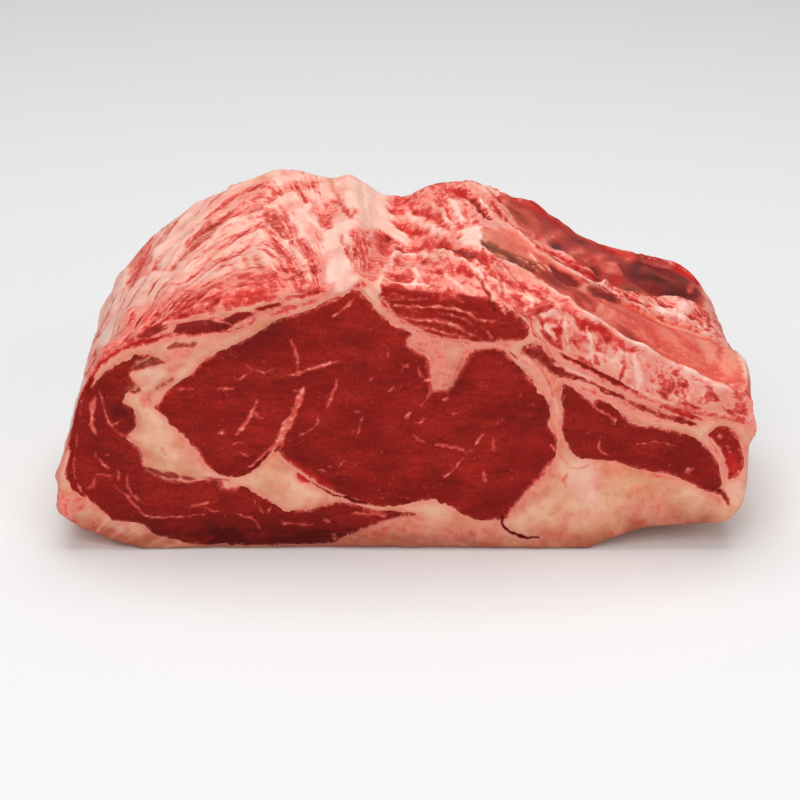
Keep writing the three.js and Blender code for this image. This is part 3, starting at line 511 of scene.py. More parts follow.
    ("cream", 1.8, [(46, 7), (50, 1), (53, -7), (58, -8), (66, -9), (76, -8), (82, -9)]),
    ("cream", 1.6, [(43, 28), (48, 20), (52, 13), (60, 11), (65, 8), (68, 9), (73, 12), (77, 7)]),
    ("cream", 1.6, [(77, -4), (80, 2), (83, 10)]), ("rosy", 5, [(86, 0), (92, 2)]),
    ("pink", 3, [(82, -6), (90, -4)]), ("cream", 9, [(97, -3), (106, 3), (114, 3)]),
    ("cream", 8, [(104, 8), (117, 12)]), ("pink", 5, [(102, 4), (112, 14)]),
    ("red", 3.4, [(98, -3), (99.6, 2)]), ("rosy", 5, [(105, -8), (110, -7)]),
    ("red", 4.6, [(118, 7), (121.5, 13)]), ("red", 1.6, [(118, -6), (124, 2)]),
    ("red", 1.2, [(112, -4), (116, 0)]), ("pink", 4, [(125, 16), (126.5, 32), (128, 50)]),
    ("red", 1.2, [(123.5, 0), (126, 25)]), ("rosy", 1.6, [(128.5, 10), (129, 34)]),
    # the far rib bone
    ("liver", 0, [(41, 42), (44, 26), (52, 13), (66, 10), (84, 6), (93, 12), (95, 34), (90, 47), (84, 53),
                  (60, 53), (44, 50)]),
    ("mauve", 0, [(41, 40), (44, 26), (50, 16), (56, 18), (56, 34), (50, 44)]),
    ("umber", 4, [(44, 38), (49, 28)]), ("blood", 5, [(50, 49), (66, 47)]),
    ("red", 4, [(42, 50), (48, 50)]), ("salmon", 3, [(57, 13), (60, 26), (64, 40)]),
    ("brown", 2.4, [(61, 12), (63, 24)]), ("salmon", 2.6, [(66, 12), (70, 26), (74, 36)]),
    ("brown", 3.4, [(70, 40), (76, 48)]), ("salmon", 3.2, [(74, 20), (80, 34), (82, 40)]),
    ("salmon", 7, [(83, 18), (86, 32)]), ("red", 3, [(76, 22), (78, 30)]),
    ("dark", 3.2, [(77, 8), (79, 18)]), ("blood", 5, [(85, 5), (87, 16)]),
    ("dark", 2, [(89, 34), (92, 20)]), ("liver", 5, [(78, 46), (88, 44)]),
    ("blood", 4, [(82, 50), (96, 51)]),
    ("brown", 0, [(91, 16), (100, 13), (112, 18), (121, 24), (124, 34), (120, 44), (112, 50), (98, 51),
                  (92, 36)]),
    ("umber", 4, [(98, 22), (108, 26), (116, 34)]), ("liver", 3, [(104, 36), (110, 30)]),
    ("liver", 3, [(98, 30), (101, 42)]), ("dark", 2.2, [(107, 46), (111, 34)]),
    ("dark", 4, [(98, 47), (106, 44)]), ("olive", 4, [(89, 8), (96, 13)]),
    ("rosy", 2, [(117, 28), (120, 40)]),
    ("blood", 0, [(113, 45), (121, 42), (125, 50), (124, 57), (113, 57)]),
    ("blood", 2.2, [(66, 53.8), (90, 53.8), (112, 53.4)]),
]

# ---------------------------------------------------------------- how the section changes


def smooth(t):
    """From 0 to 1 as t goes from 0 to 1, level at both ends and beyond."""
    t = np.clip(t, 0, 1)
    return t * t * (3 - 2 * t)


def bell(t):
    """1 where t is 0, falling off on both sides."""
    return np.exp(-np.square(t))


def profile(pairs):
    """A smooth curve through (position, value) pairs, level beyond both ends."""
    at, value = np.array(pairs, float).T
    slope = np.empty_like(value)
    slope[1:-1] = (value[2:] - value[:-2]) / (at[2:] - at[:-2])
    slope[0] = (value[1] - value[0]) / (at[1] - at[0])
    slope[-1] = (value[-1] - value[-2]) / (at[-1] - at[-2])

    def curve(x):
        x = np.clip(np.asarray(x, float), at[0], at[-1])
        i = np.clip(np.searchsorted(at, x, side="right") - 1, 0, len(at) - 2)
        width = at[i + 1] - at[i]
        t = (x - at[i]) / width
        bend = t * (1 - t) * width * ((1 - t) * slope[i] - t * slope[i + 1])
        return value[i] + (value[i + 1] - value[i]) * smooth(t) + bend

    return curve


top_edge = profile([(-139, 60), *TOP_EDGE, (137, 62)])
back_rise = profile([
    (-134, -4), (-118, -1.4), (-104, 5.6), (-92, 8.4), (-80, 10.5), (-50, 15.5), (-23, 7), (-8, 5),
    (6, 7.5), (24, 5), (50, 2), (70, -1.5), (84, 0), (104, 5.6), (120, 8.6), (134, -3),
])
shoulder_rise = profile([(2, 0), (18, 6), (32, 9), (46, 6.5), (60, 0)])


def rise(x, y):
    """How much higher the section stands at depth y than on the cut face."""
    into = smooth((y + 38) / 30) * (1 - 0.55 * smooth((y - 22) / 33))
    valley = -7.5 * bell((x - VALLEY_MIDDLE + 0.12 * y) / 13) * into
    ridge = 2.2 * bell((x + 21 + 0.03 * y) / 6)
    hollow = -3.5 * bell((x - FAN_MIDDLE) / 26) * bell(y / 34)
    depth = (y - FRONT) / THICKNESS
    return back_rise(x) * depth + shoulder_rise(x) * smooth((y - FRONT) / 34) + valley + ridge + hollow


def place(points):
    """Takes points (x, y, z) of the drawing to the frame, in metres."""
    x, y, z = points.T
    height = np.maximum(z - UNDERSIDE, 0)
    share = np.clip(height / (top_edge(x) - UNDERSIDE), 0, 1)
    lift = rise(x, y) * share ** LIFT_POWER
    return np.stack([x - ORIGIN_X, y, height + lift], 1) * MM


def scatter(keys, salt=0):
    """A fixed random value from -1 to 1 for each row of whole numbers."""
    mixed = keys[:, 0] * 73856093 ^ keys[:, 1] * 19349663
    if keys.shape[1] == 3:
        mixed = mixed ^ keys[:, 2] * 83492791
    mixed = ((mixed + salt) ^ (mixed >> 13)) * 1274126177
    return ((mixed ^ (mixed >> 16)) & 0xFFFF) / 32767.5 - 1


def noise(points, size, seed=0):
    """Smooth random values from -1 to 1, in lumps of about that size."""
    at = points / size + seed * 17.31
    cell = np.floor(at).astype(np.int64)
    t = smooth(at - cell)
    total = np.zeros(len(points))
    for corner in itertools.product((0, 1), repeat=points.shape[1]):
        total += scatter(cell + corner) * np.prod(np.where(corner, t, 1 - t), axis=1)
    return total


def lobes(points, size, seed):
    """Uneven lobes of about that size: how far each point is from a seam, and its lobe's own value."""
    at = points / size + seed * 7.7
    cell = np.floor(at).astype(np.int64)
    nearest, second = np.full(len(at), 9.0), np.full(len(at), 9.0)
    value = np.zeros(len(at))
    for step in itertools.product((-1, 0, 1), repeat=2):
        keys = cell + step
        centre = keys + 0.5 + 0.42 * np.stack([scatter(keys, 11), scatter(keys, 29)], 1)
        distance = np.hypot(*(at - centre).T)
        nearer = distance < nearest
        second = np.where(nearer, nearest, np.minimum(second, distance))
        value = np.where(nearer, scatter(keys, 53), value)
        nearest = np.minimum(nearest, distance)
    return (second - nearest) * size / 2, value


# ---------------------------------------------------------------- outlines


def spline(points, spacing):
    """Evenly spaced points on a smooth curve through the given ones."""
    p = np.array(points, float)
    last = len(p) - 1
    t = np.linspace(0, last, last * 24 + 1)
    i = np.minimum(t.astype(int), last - 1)
    f = (t - i)[:, None]
    a, b, c, d = p[np.maximum(i - 1, 0)], p[i], p[i + 1], p[np.minimum(i + 2, last)]
    fine = 2 * b + (c - a) * f + (2 * a - 5 * b + 4 * c - d) * f**2 + (3 * b - a - 3 * c + d) * f**3
    return even(fine / 2, spacing)


def even(fine, spacing):
    """Points at even distances along a fine line."""
    length = np.concatenate([[0], np.cumsum(np.hypot(*np.diff(fine, axis=0).T))])
    count = max(2, round(length[-1] / spacing)) + 1
    at = np.linspace(0, length[-1], count)
    return np.stack([np.interp(at, length, fine[:, 0]), np.interp(at, length, fine[:, 1])], 1)


def ragged(outline, amount, closed=True):
    """Small uneven bites and bulges along an outline, such as a knife and the grain leave."""
    before = np.roll(outline, 1, 0) if closed else np.vstack([outline[:1], outline[:-1]])
    after = np.roll(outline, -1, 0) if closed else np.vstack([outline[1:], outline[-1:]])
    along = after - before
    normal = np.stack([-along[:, 1], along[:, 0]], 1) / np.hypot(*along.T)[:, None]
    wild = 0.4 + 0.9 * smooth(noise(outline, 17, 4) + 0.4)
    shift = 0.6 * noise(outline, 4.2, 2) + 0.6 * noise(outline, 1.9, 5) + 0.5 * noise(outline, 1.1, 6)
    return outline + normal * (shift * wild * amount)[:, None]


def muscle_outline(points):
    """The closed outline of a muscle, a little ragged."""
    return ragged(spline([*points, points[0]], MUSCLE_SPACING)[:-1], SHAPE["ragged"])


def layer_outline(edge):
    """The outline of all that lies above a layer's lower edge, up to the sky."""
    line = ragged(spline(edge, LAYER_SPACING), SHAPE["ragged"], closed=False)
    return np.vstack([(line[0][0], SKY), line, (line[-1][0], SKY)])


# The near and far side of each rib bone: depth y over x.
front_bone_near = profile([(30, -20), (40, -25), (50, -33), (60, -44), (70, -51.5), (134, -52)])
front_bone_far = profile([
    (30, 6), (38, 11), (46, 6), (54, -4), (64, -9), (78, -12), (100, -12), (134, -10),
])
back_bone_near = profile([
    (40, 34), (47, 22), (56, 14), (66, 9), (80, 4), (90, 4), (100, 10), (112, 17), (128, 20),
])
back_bone_far = profile([(40, 46), (52, 51), (128, 51.5)])
BONES = {
    "rib_bone_front": {"start": 30, "end": 140, "near": front_bone_near, "far": front_bone_far},
    "rib_bone_back": {"start": 40, "end": 127.5, "near": back_bone_near, "far": back_bone_far},
}

# Above this height the cut face is torn, and between these lines the fat ridge runs to the back.
layer_floor = profile([*SIDE_FLESH_EDGE[:-2], (-20, 112), (20, 112), *RIB_FLESH_EDGE[1:]])
ridge_left = profile([(-56, -31), (-30, -31), (-12, -32), (0, -27), (10, -23), (30, -22), (56, -21)])
ridge_right = profile([
    (-56, -20), (-30, -21), (-15, -22), (0, -18), (10, -12), (25, -5), (40, -5), (56, -10),
])


def bone_form(x, y):
    """Where a rib bone lies bare on top, and how its surface and the crests beside it stand."""
    bare = np.zeros(len(x))
    height = np.zeros(len(x))
    for bone in BONES.values():
        near, far = bone["near"](x), bone["far"](x)
        along = smooth((x - bone["start"] + 1) / 14) * smooth((bone["end"] - x) / 5)
        here = between(y, near + 0.5, far - 0.5, 2) * along
        middle = np.clip((y - near) / np.maximum(far - near, 1), 0, 1) * 2 - 1
        swell = smooth((x - 62) / 40)
        height += here * ((1 - middle**2) * (3.2 * swell - 0.5) + 0.2 - 1.1 * swell)
        height -= along * (1 - smooth((x - 52) / 16)) * 1.8 * bell((y - near + 4) / 4.5)
        crest = smooth((x - 52) / 16) * bell((y - near + 1.5) / 1.8) + bell((y - far - 1.2) / 1.8)
        height += along * 1.3 * crest
        bare = np.maximum(bare, here)
    return bare, height


# ---------------------------------------------------------------- the whole roast as one fine mesh


def depth_layers():
    """(y, inset) of every layer from the cut face to the back, with both rims rounded."""
    angle = np.linspace(0, math.pi / 2, RIM_STEPS + 1)
    rim = RIM_RADIUS * (1 - np.cos(angle))
    inset = RIM_RADIUS * (1 - np.sin(angle))
    steps = round((THICKNESS - 2 * RIM_RADIUS) / DEPTH_SPACING)
    straight = np.linspace(FRONT + RIM_RADIUS, BACK - RIM_RADIUS, steps + 1)[1:-1]
    y = np.concatenate([FRONT + rim, straight, BACK - rim[::-1]])
    return y, np.concatenate([inset, np.zeros(len(straight)), inset[::-1]])


def grid_box(columns, rows, layers):
    """A closed unit box with a grid on each of its six sides."""
    bm = bmesh.new()
    x, y, z = Vector((1, 0, 0)), Vector((0, 1, 0)), Vector((0, 0, 1))
    pairs = ((x, z, y, (columns, rows)), (x, y, z, (columns, layers)), (y, z, x, (layers, rows)))
    for side in (0, 1):
        for a, b, c, cuts in pairs:
            corner = (a + b) / 2 + c * side
            matrix = Matrix.Translation(corner) @ Matrix((a, b, c)).transposed().to_4x4()
            bmesh.ops.create_grid(bm, x_segments=cuts[0], y_segments=cuts[1], size=0.5, matrix=matrix)
    bmesh.ops.remove_doubles(bm, verts=bm.verts, dist=1e-5)
    bmesh.ops.recalc_face_normals(bm, faces=bm.faces)
    mesh = bpy.data.meshes.new("whole_roast")
    bm.to_mesh(mesh)
    bm.free()
    return mesh


def boundary():
    """The four sides of the outline, each from its left or lower end: top, right, bottom, left."""
    closed = [*TOP_EDGE, *RIGHT_END, *BOTTOM_EDGE, *LEFT_SIDE, TOP_EDGE[0]]
    fine = spline(closed, 0.25)
    corners = [TOP_EDGE[0], TOP_EDGE[-1], RIGHT_END[-1], BOTTOM_EDGE[-1]]
    at = [int(np.argmin(np.hypot(*(fine - c).T))) for c in corners]
    top, right = fine[at[0]:at[1] + 1], fine[at[1]:at[2] + 1][::-1]
    bottom, left = fine[at[2]:at[3] + 1][::-1], fine[at[3]:]
    return [even(side, 0.2) for side in (top, right, bottom, left)]


def section(u, v, inset):
    """A point of the section: u from left to right, v from the bottom up, drawn in by inset."""
    def on(side, t):
        at = t * (len(side) - 1)
        return np.stack([np.interp(at, np.arange(len(side)), side[:, k]) for k in (0, 1)], 1)

    def drawn_in(p):
        away = p - (0, MIDDLE_HEIGHT)
        length = np.hypot(*away.T)
        return (0, MIDDLE_HEIGHT) + away * ((length - inset) / length)[:, None]

    top, right, bottom, left = boundary()
    start, end = np.zeros_like(u), np.ones_like(u)
    lower_left, lower_right = drawn_in(on(bottom, start)), drawn_in(on(bottom, end))
    upper_left, upper_right = drawn_in(on(top, start)), drawn_in(on(top, end))
    u1, v1 = u[:, None], v[:, None]
    flat = (1 - v1) * drawn_in(on(bottom, u)) + v1 * drawn_in(on(top, u))
    flat += (1 - u1) * drawn_in(on(left, v)) + u1 * drawn_in(on(right, v))
    flat -= (1 - u1) * (1 - v1) * lower_left + u1 * (1 - v1) * lower_right
    return flat - (1 - u1) * v1 * upper_left - u1 * v1 * upper_right


def vectors(items, key):
    """One row of three numbers for each of the items."""
    values = np.zeros(len(items) * 3, np.float32)
    items.foreach_get(key, values)
    return values.reshape(-1, 3).astype(float)


def coordinates(mesh):
    return vectors(mesh.vertices, "co")


def set_coordinates(mesh, points):
    mesh.vertices.foreach_set("co", points.astype(np.float32).ravel())
    mesh.update()


def distance_to_line(q, line):
    """Distance of each point q from a line of points, and how far along the line it is, 0 to 1."""
    best = np.full(len(q), 1e9)
    share = np.zeros(len(q))
    for i, (a, b) in enumerate(zip(line, line[1:])):
        step = b - a
        t = np.clip((q - a) @ step / (step @ step), 0, 1)
        distance = np.hypot(*(q - a - t[:, None] * step).T)
        nearer = distance < best
        best[nearer] = distance[nearer]
        share[nearer] = (i + t[nearer]) / (len(line) - 1)
    return best, share


def inside(q, outline):
    """Which points q lie inside a closed outline."""
    odd = np.zeros(len(q), bool)
    for a, b in zip(outline, np.roll(outline, -1, 0)):
        crosses = (a[1] > q[:, 1]) != (b[1] > q[:, 1])
        at = a[0] + (q[:, 1] - a[1]) * (b[0] - a[0]) / (b[1] - a[1] if b[1] != a[1] else 1)
        odd ^= crosses & (q[:, 0] < at)
    return odd


def mark_mask(p, points, width, soft, uneven):
    """How strongly a mark covers each point of p, from 0 to 1.

    A mark with a width is a line that narrows towards both ends, one without is an area.
    """
    line = np.array(points, float)
    reach = width / 2 + soft
    near = np.all((p > line.min(0) - reach) & (p < line.max(0) + reach), axis=1)
    q = p[near]
    mask = np.zeros(len(p))
    if len(line) == 1:
        margin = width / 2 - np.hypot(*(q - line[0]).T)
    elif width:
        distance, share = distance_to_line(q, line)
        margin = width / 2 * (1 - 0.55 * np.abs(2 * share - 1) ** 3) - distance
    else:
        distance, share = distance_to_line(q, np.vstack([line, line[:1]]))
        margin = np.where(inside(q, line), distance, -distance)
    mask[near] = smooth((margin + uneven[near] + soft) / (2 * soft))
    return mask


def lay_marks(p, marks, spread):
    """What the marks leave of the ground, and what they add to it: (left, added, height).

    The edge of a mark is as soft as its kind says, and softer by that share of its width.
    """
    left = np.ones(len(p))
    added = np.zeros((len(p), CHANNELS))
    height = np.zeros(len(p))
    bites = noise(p, 1.6, 31) + 0.7 * noise(p, 3.3, 32)
    for kind, width, points in marks:
        *target, lift, blur = KINDS[kind]
        uneven = bites * min(0.8, 0.15 + 0.08 * width)
        mask = mark_mask(p, points, width, blur + spread * width, uneven)
        left *= 1 - mask
        added += (np.array(target) - added) * mask[:, None]
        height += (lift - height) * mask
    return left, added, height


def seam_distance(p):
    """How far each point (x, z) of the face is from the nearest edge of a muscle, up to the reach."""
    muscles = (EYE_MUSCLE, CAP_MUSCLE, UNDER_RIB_MUSCLE, RIB_MUSCLE, RIB_END_MUSCLE)
    lines = [[*muscle, muscle[0]] for muscle in muscles]
    lines += [SIDE_FLESH_EDGE, UPPER_MUSCLE_EDGE, RIB_FLESH_EDGE]
    lines = [spline(line, SEAM_SPACING) for line in lines]
    tree = search_tree(np.insert(np.vstack(lines), 2, 0, axis=1))
    return np.array([min(SEAM_REACH, tree.find((x, z, 0))[2]) for x, z in p])


def search_tree(points):
    """Finds the nearest of the points."""
    tree = kdtree.KDTree(len(points))
    for i, point in enumerate(points):
        tree.insert(point, i)
    tree.balance()
    return tree


def arches(x, y, middle, bend, left=1.0, right=1.0):
    """Places measured across and along fibres that run in nested arches about a middle line.

    The legs of the arches are as much closer to the middle as left and right say.
    """
    aside = (x - middle) * np.where(x < middle, left, right)
    across = np.sqrt(aside**2 + np.maximum(y - FRONT, 0) / bend + 1)
    return np.stack([across, 70 * aside / across], 1)


def between(value, low, high, soft):
    """1 between low and high and 0 outside, each edge spread over that width."""
    return smooth((value - low) / soft + 0.5) * smooth((high - value) / soft + 0.5)


class Roast:
    """The whole roast before it is parted, with what is known of every point of its surface."""

    made = None

    def __init__(self):
        self.shape_section()
        self.find_sides()
        self.lay_all_marks()
        self.shade_face()
        self.grow_lobes()
        self.lay_ground_on_top()
        self.run_fibres()
        self.raise_relief()
        self.tree = search_tree(self.points)
        self.keys = {tuple(key): i for i, key in enumerate(self.rounded(self.points))}

    def lumps(self, size, seed=0):
        """Smooth random values all over the surface, in lumps of about that size."""
        return noise(self.bare, size, seed)

    def shape_section(self):
        """Bends the box into the section of the roast, with the near rib bone jutting out of its end."""
        layers_y, layers_inset = depth_layers()
        layers = len(layers_y) - 1
        self.mesh = grid_box(COLUMNS, ROWS, layers)
        u, w, v = coordinates(self.mesh).T
        at = np.rint(w * layers).astype(int)
        xz = section(u, v, layers_inset[at])
        points = np.stack([xz[:, 0], layers_y[at], xz[:, 1]], 1)
        at_end = smooth((points[:, 0] - 116) / 16)
        jut = at_end * smooth((points[:, 2] - 55) / 8)
        jut *= between(points[:, 1], front_bone_near(130), front_bone_far(130), 5)
        tuck = at_end * smooth((points[:, 1] - 2) / 16) * smooth((points[:, 2] - 46) / 10)
        points += jut[:, None] * (2.0, 0, 3.2) - tuck[:, None] * (1.8, 0, 0)
        set_coordinates(self.mesh, points)
        self.bare = points
        self.normals = vectors(self.mesh.vertex_normals, "vector")

    def find_sides(self):
        """How much each point belongs to a cut face, to the upper side and to the underside."""
        x, _, z = self.bare.T
        across, away, up = self.normals.T
        self.torn = smooth((z - layer_floor(x)) / 4)
        tatters = self.lumps(4.5, 33) + 0.6 * self.lumps(2, 34) - 0.3
        self.face = smooth(1.9 * away**2 - 0.25 + 0.55 * self.torn * tatters)
        ends_up = smooth((z - 36 + 7 * self.lumps(9, 81) + 3 * self.lumps(3, 82)) / 16)
        ends_up = np.maximum(ends_up, smooth((-110 - x) / 10) * smooth((z - 20) / 12))
        top = np.maximum(up, 0) ** 2
        self.upper = (1 - self.face) * smooth(1.8 * (top + 0.7 * across**2 * ends_up))
        self.under = np.maximum(-up, 0) ** 2

    def lay_all_marks(self):
        """Lays the marks of the cut face and of the upper side, each on its own side."""
        x, y, z = self.bare.T
        self.wobble = np.stack([self.lumps(4.0, 1), self.lumps(4.0, 7)], 1)
        self.shiver = np.stack([self.lumps(1.7, 2), self.lumps(1.7, 8)], 1)
        self.face_at = np.stack([x, z], 1) + 0.5 * self.wobble + 0.45 * self.shiver
        self.plan_at = np.stack([x, y], 1) + 0.8 * self.wobble + 0.35 * self.shiver
        face_left, face_added, self.face_height = lay_marks(self.face_at, FACE_MARKS, 0.05)
        top_left, top_added, self.top_height = lay_marks(self.plan_at, TOP_MARKS, 0.12)
        self.left = 1 - (1 - face_left) * self.face - (1 - top_left) * self.upper
        self.added = face_added * self.face[:, None] + top_added * self.upper[:, None]

    def shade_face(self):
        """Where the cut face is darker, redder or paler, with its painted shade, and how far its seams
        are.
        """
        x, _, z = self.bare.T
        # painted shade: the cut face darker towards the bottom, where less light falls
        self.shade = 0.3 * smooth((16 - z) / 18) * self.face
        for amount, width, line in FACE_SHADES:
            distance, _ = distance_to_line(self.face_at, np.array(line, float))
            self.shade += amount * bell(distance / width) * self.face
        flat = np.stack([x, z], 1)
        # painted shade along the bottom edge, where the rounded underside turns away from the light
        low = np.full(len(x), 1e3)
        facing = self.face > 0.2
        low[facing], _ = distance_to_line(flat[facing], spline(BOTTOM_EDGE, 6))
        self.low = self.face * bell(low / 8) * (1 + 0.3 * self.lumps(6, 71))
        self.corner = bell(np.hypot(x - CORNER_X, z - CORNER_Z) / 15)
        self.stain = self.lumps(8, 21) + 0.6 * self.lumps(3, 22)
        self.pallor = self.lumps(12, 23) + 0.5 * self.lumps(4, 24)
        self.seam = np.full(len(x), SEAM_REACH)
        facing = self.face > 0.3
        self.seam[facing] = seam_distance(flat[facing])

    def grow_lobes(self):
        """The bare bones, and the lobes of the torn flesh round them with threads of fat between."""
        x, y, z = self.bare.T
        self.bare_bone, self.bone_height = bone_form(x, y)
        self.bone = self.bare_bone * self.upper
        unrolled = np.stack([x, y + z - top_edge(x)], 1) + 0.8 * self.wobble + 0.5 * self.shiver
        right_side = smooth((x + 14) / 8) * np.maximum(self.upper, self.torn * self.face)
        right_side *= (1 - self.bone) * (1 - smooth((x - 36) / 8) * smooth((y - 42) / 6))
        small_part = right_side * smooth((x - 18) / 10)
        seam_of_lobes, lobe = lobes(unrolled / (1.0, 1.5), 6.5, 3)
        seam_of_cells, cell = lobes(unrolled / (1.0, 1.3), 3.1, 5)
        thread = bell(seam_of_lobes / 0.55) * smooth(self.lumps(7, 61) + 0.75)
        fine_thread = bell(seam_of_cells / 0.4) * smooth(self.lumps(5, 62) + 0.6)
        self.lobed = right_side * (0.08 * lobe + 0.18 * thread)
        self.lobed += small_part * (0.28 * cell + 0.34 * fine_thread)
        self.threads = right_side * np.maximum(thread, fine_thread * small_part)
        beside_bone = np.zeros(len(x))
        for line in (front_bone_near, front_bone_far, back_bone_near):
            beside_bone = np.maximum(beside_bone, bell((y - line(x)) / 4) * smooth((x - 34) / 8))
        self.lobe_height = 0.6 * right_side * (smooth(seam_of_lobes / 2.4) - 0.5)
        self.lobe_height += 0.6 * small_part * (smooth(seam_of_cells / 1.2) - 0.5)
        self.lobe_height *= 1 - 0.85 * beside_bone

    def lay_ground_on_top(self):
        """The ground of the upper side runs on across the pieces, from one kind of tissue to the next."""
        x, y = self.plan_at.T
        side = smooth((ridge_left(y) - x) / 5 + 0.5)
        ridge = smooth((x - ridge_left(y)) / 5 + 0.5) * smooth((ridge_right(y) - x) / 5 + 0.5)
        right = smooth((x - ridge_right(y)) / 5 + 0.5)
        on_ribs = smooth((x - (front_bone_near(x) - y) * 0.15 - 36) / 8 + 0.5)
        front = smooth((-32 - y) / 14 + 0.5)
        share = {
            "side": side * (1 - front), "side_front": side * front, "ridge": ridge,
            "valley": right * (1 - on_ribs), "ribs": right * on_ribs,
        }
        ground = sum(weight[:, None] * np.array(TOP_GROUND[zone]) for zone, weight in share.items())
        ground /= sum(share.values())[:, None]
        bone_ground = np.array(TOP_GROUND["bone"])
        self.top_ground = ground + (bone_ground - ground) * self.bare_bone[:, None]

    def run_fibres(self):
        """Which way the fibres run in each stretch, and the streaks and mottles along them."""
        x, y, z = self.bare.T
        self.ridge = between(x, RIDGE_START, VALLEY_START, 10)
        self.valley = between(x, VALLEY_START, RIBS_START, 10)
        at_right = smooth((x - END_START) / 12)
        bent = y + 0.12 * x + 55 + 3 * at_right * self.lumps(9, 83)
        on_top = [
            (between(x, -np.inf, RIDGE_START, 12), arches(x, y, FAN_MIDDLE, 0.065, 0.7, 1.3) * (1, 0.55)),
            (self.ridge, np.stack([x + 0.06 * y + 75, 30 - 0.3 * y], 1)),
            (self.valley, (75, 0) - arches(x, y, VALLEY_MIDDLE, 0.2)),
            (between(x, RIBS_START, np.inf, 10), np.stack([bent, x + at_right * (64 - z)], 1)),
        ]
        slope = np.stack([z - top_edge(x) + 0.1 * x, x + 0.6 * y], 1)
        steep = np.stack([x + 0.6 * z, z + 0.3 * y], 1)
        on_ribs = smooth((x - 44) / 8)
        self.flows = [(weight * self.upper, at) for weight, at in on_top]
        self.flows += [
            ((1 - on_ribs) * (1 - self.upper), slope), (on_ribs * (1 - self.upper), steep),
        ]
        self.grain = sum(weight[:, None] * at for weight, at in self.flows)
        strongest = np.maximum.reduce([weight for weight, _ in self.flows])
        self.pure = smooth((strongest - 0.6) / 0.3)

        # the streaks are weaker where another flow mixes in, and at the heart of some stretches
        heart = 1 - 0.7 * bell((x - FAN_MIDDLE) / 22) * smooth((-22 - y) / 20)
        heart *= 1 - 0.85 * smooth((x - 18) / 12) * np.maximum(self.face, smooth((-14 - y) / 12))
        heart *= (1 - 0.6 * self.valley * self.upper) * (1 - 0.5 * at_right)
        fan = bell((x + 44) / 20) * smooth((34 - y) / 20) * smooth((y + 46) / 12)
        heart *= 1 - 0.4 * fan * self.upper
        self.fine = self.streak(1.1, 28, 1)
        self.broad = self.streak(3.0, 36, 3)
        self.folds = self.streak(8, 42, 9)
        self.streaks = 0.4 * self.broad + 0.55 * self.fine + 0.25 * self.folds
        self.streaks *= (0.35 + 0.65 * self.pure) * heart
        self.mottle = 0.6 * self.lumps(5.5, 11) + 0.5 * self.lumps(2.6, 12) + 0.3 * self.lumps(1.3, 13)
        self.calm = np.maximum(self.face * (1 - self.torn), self.bone) + 1 - self.pure * heart
        self.calm = np.clip(self.calm, 0, 1)
        bone_mottle = self.lumps(12, 41) + 0.5 * self.lumps(6, 42)
        self.uneven = (1 - self.bone) * (0.6 * self.streaks + 0.5 * self.mottle)
        self.uneven += 0.8 * self.bone * bone_mottle

    def streak(self, across, along, seed):
        """Random streaks along the fibres, that wide and long in millimetres."""
        total = np.zeros(len(self.bare))
        for weight, at in self.flows:
            total += weight * noise(at / (across, along), 1, seed)
        return total

    def relief_on_top(self):
        """How proud the upper side stands at its marks, bones, lobes, fibres and knobs."""
        x, _, z = self.bare.T
        rough = (1 - 0.93 * self.bone) * (1 - 0.3 * self.valley - 0.45 * self.ridge)
        rough *= 0.6 + 0.4 * self.pure
        height = 1.4 * self.top_height + self.bone_height + self.lobe_height
        height += rough * (0.9 * self.folds + 0.45 * self.broad + 0.25 * self.fine)
        height += rough * (0.8 * self.lumps(10, 5) + 0.4 * self.lumps(4.5, 6) + 0.12 * self.lumps(2, 7))
        height += 0.35 * self.bone * self.lumps(8, 17)
        return height + 1.6 * self.lumps(8, 51) * smooth((-78 - x) / 20) * smooth((z - 58) / 12)

    def relief_of_face(self):
        """How proud the cut face stands at its marks, seams, torn flesh and uneven cut."""
        height = self.face_height - 0.45 * bell(self.seam / 0.9) + 0.5 * smooth(self.seam / 7)
        tatters = 0.6 * self.lumps(6, 15) + 0.45 * self.lumps(2.8, 16) + 0.4 * self.streaks
        height += self.lobe_height + self.torn * tatters
        height += self.corner * (1.3 * self.lumps(9, 72) + 0.5 * self.lumps(4, 73))
        return height + 0.45 * self.lumps(13, 2) + 0.14 * self.lumps(4, 3) + 0.07 * self.lumps(1.6, 4)

    def raise_relief(self):
        """Moves every point along its normal by its relief, but none through the floor."""
        height = self.relief_of_face() * self.face + self.relief_on_top() * self.upper
        elsewhere = np.clip(1 - self.face - self.upper - self.under, 0, 1)
        height += (0.7 * self.lumps(9, 5) + 0.3 * self.streaks) * elsewhere
        height += (0.25 * self.lumps(7, 8) - 0.25) * self.under
        self.points = self.bare + self.normals * (height * SHAPE["relief"])[:, None]
        self.points[:, 2] = np.maximum(self.points[:, 2], UNDERSIDE)
        set_coordinates(self.mesh, self.points)

    @classmethod
    def get(cls):
        if cls.made is None:
            cls.made = cls()
        return cls.made

    @staticmethod
    def rounded(points):
        """The points in whole micrometres, to find the same point again."""
        return np.rint(points * 1e3).astype(int)

    def home(self, points):
        """For each point, the nearest point of the whole roast's surface."""
        pairs = zip(map(tuple, self.rounded(points)), points)
        return np.array([self.keys[key] if key in self.keys else self.tree.find(p)[1] for key, p in pairs])

    def known(self, home, *names):
        """What is known by those names at the given points of the surface."""
        return [getattr(self, name)[home] for name in names]


# ---------------------------------------------------------------- parting the roast


def solid_object(name, bm):
    """A new object in the scene made of the bmesh, with its faces turned outwards."""
    bmesh.ops.recalc_face_normals(bm, faces=bm.faces)
    mesh = bpy.data.meshes.new(name)
    bm.to_mesh(mesh)
    bm.free()
    return new_object(name, mesh)


def new_object(name, mesh):
    """A new object in the scene with that mesh, lamp or camera."""
    obj = bpy.data.objects.new(name, mesh)
    bpy.context.scene.collection.objects.link(obj)
    return obj


def edges_along(bm, axis, least):
    """The edges that reach further than least along an axis."""
    return [e for e in bm.edges if abs(e.verts[0].co[axis] - e.verts[1].co[axis]) > least]


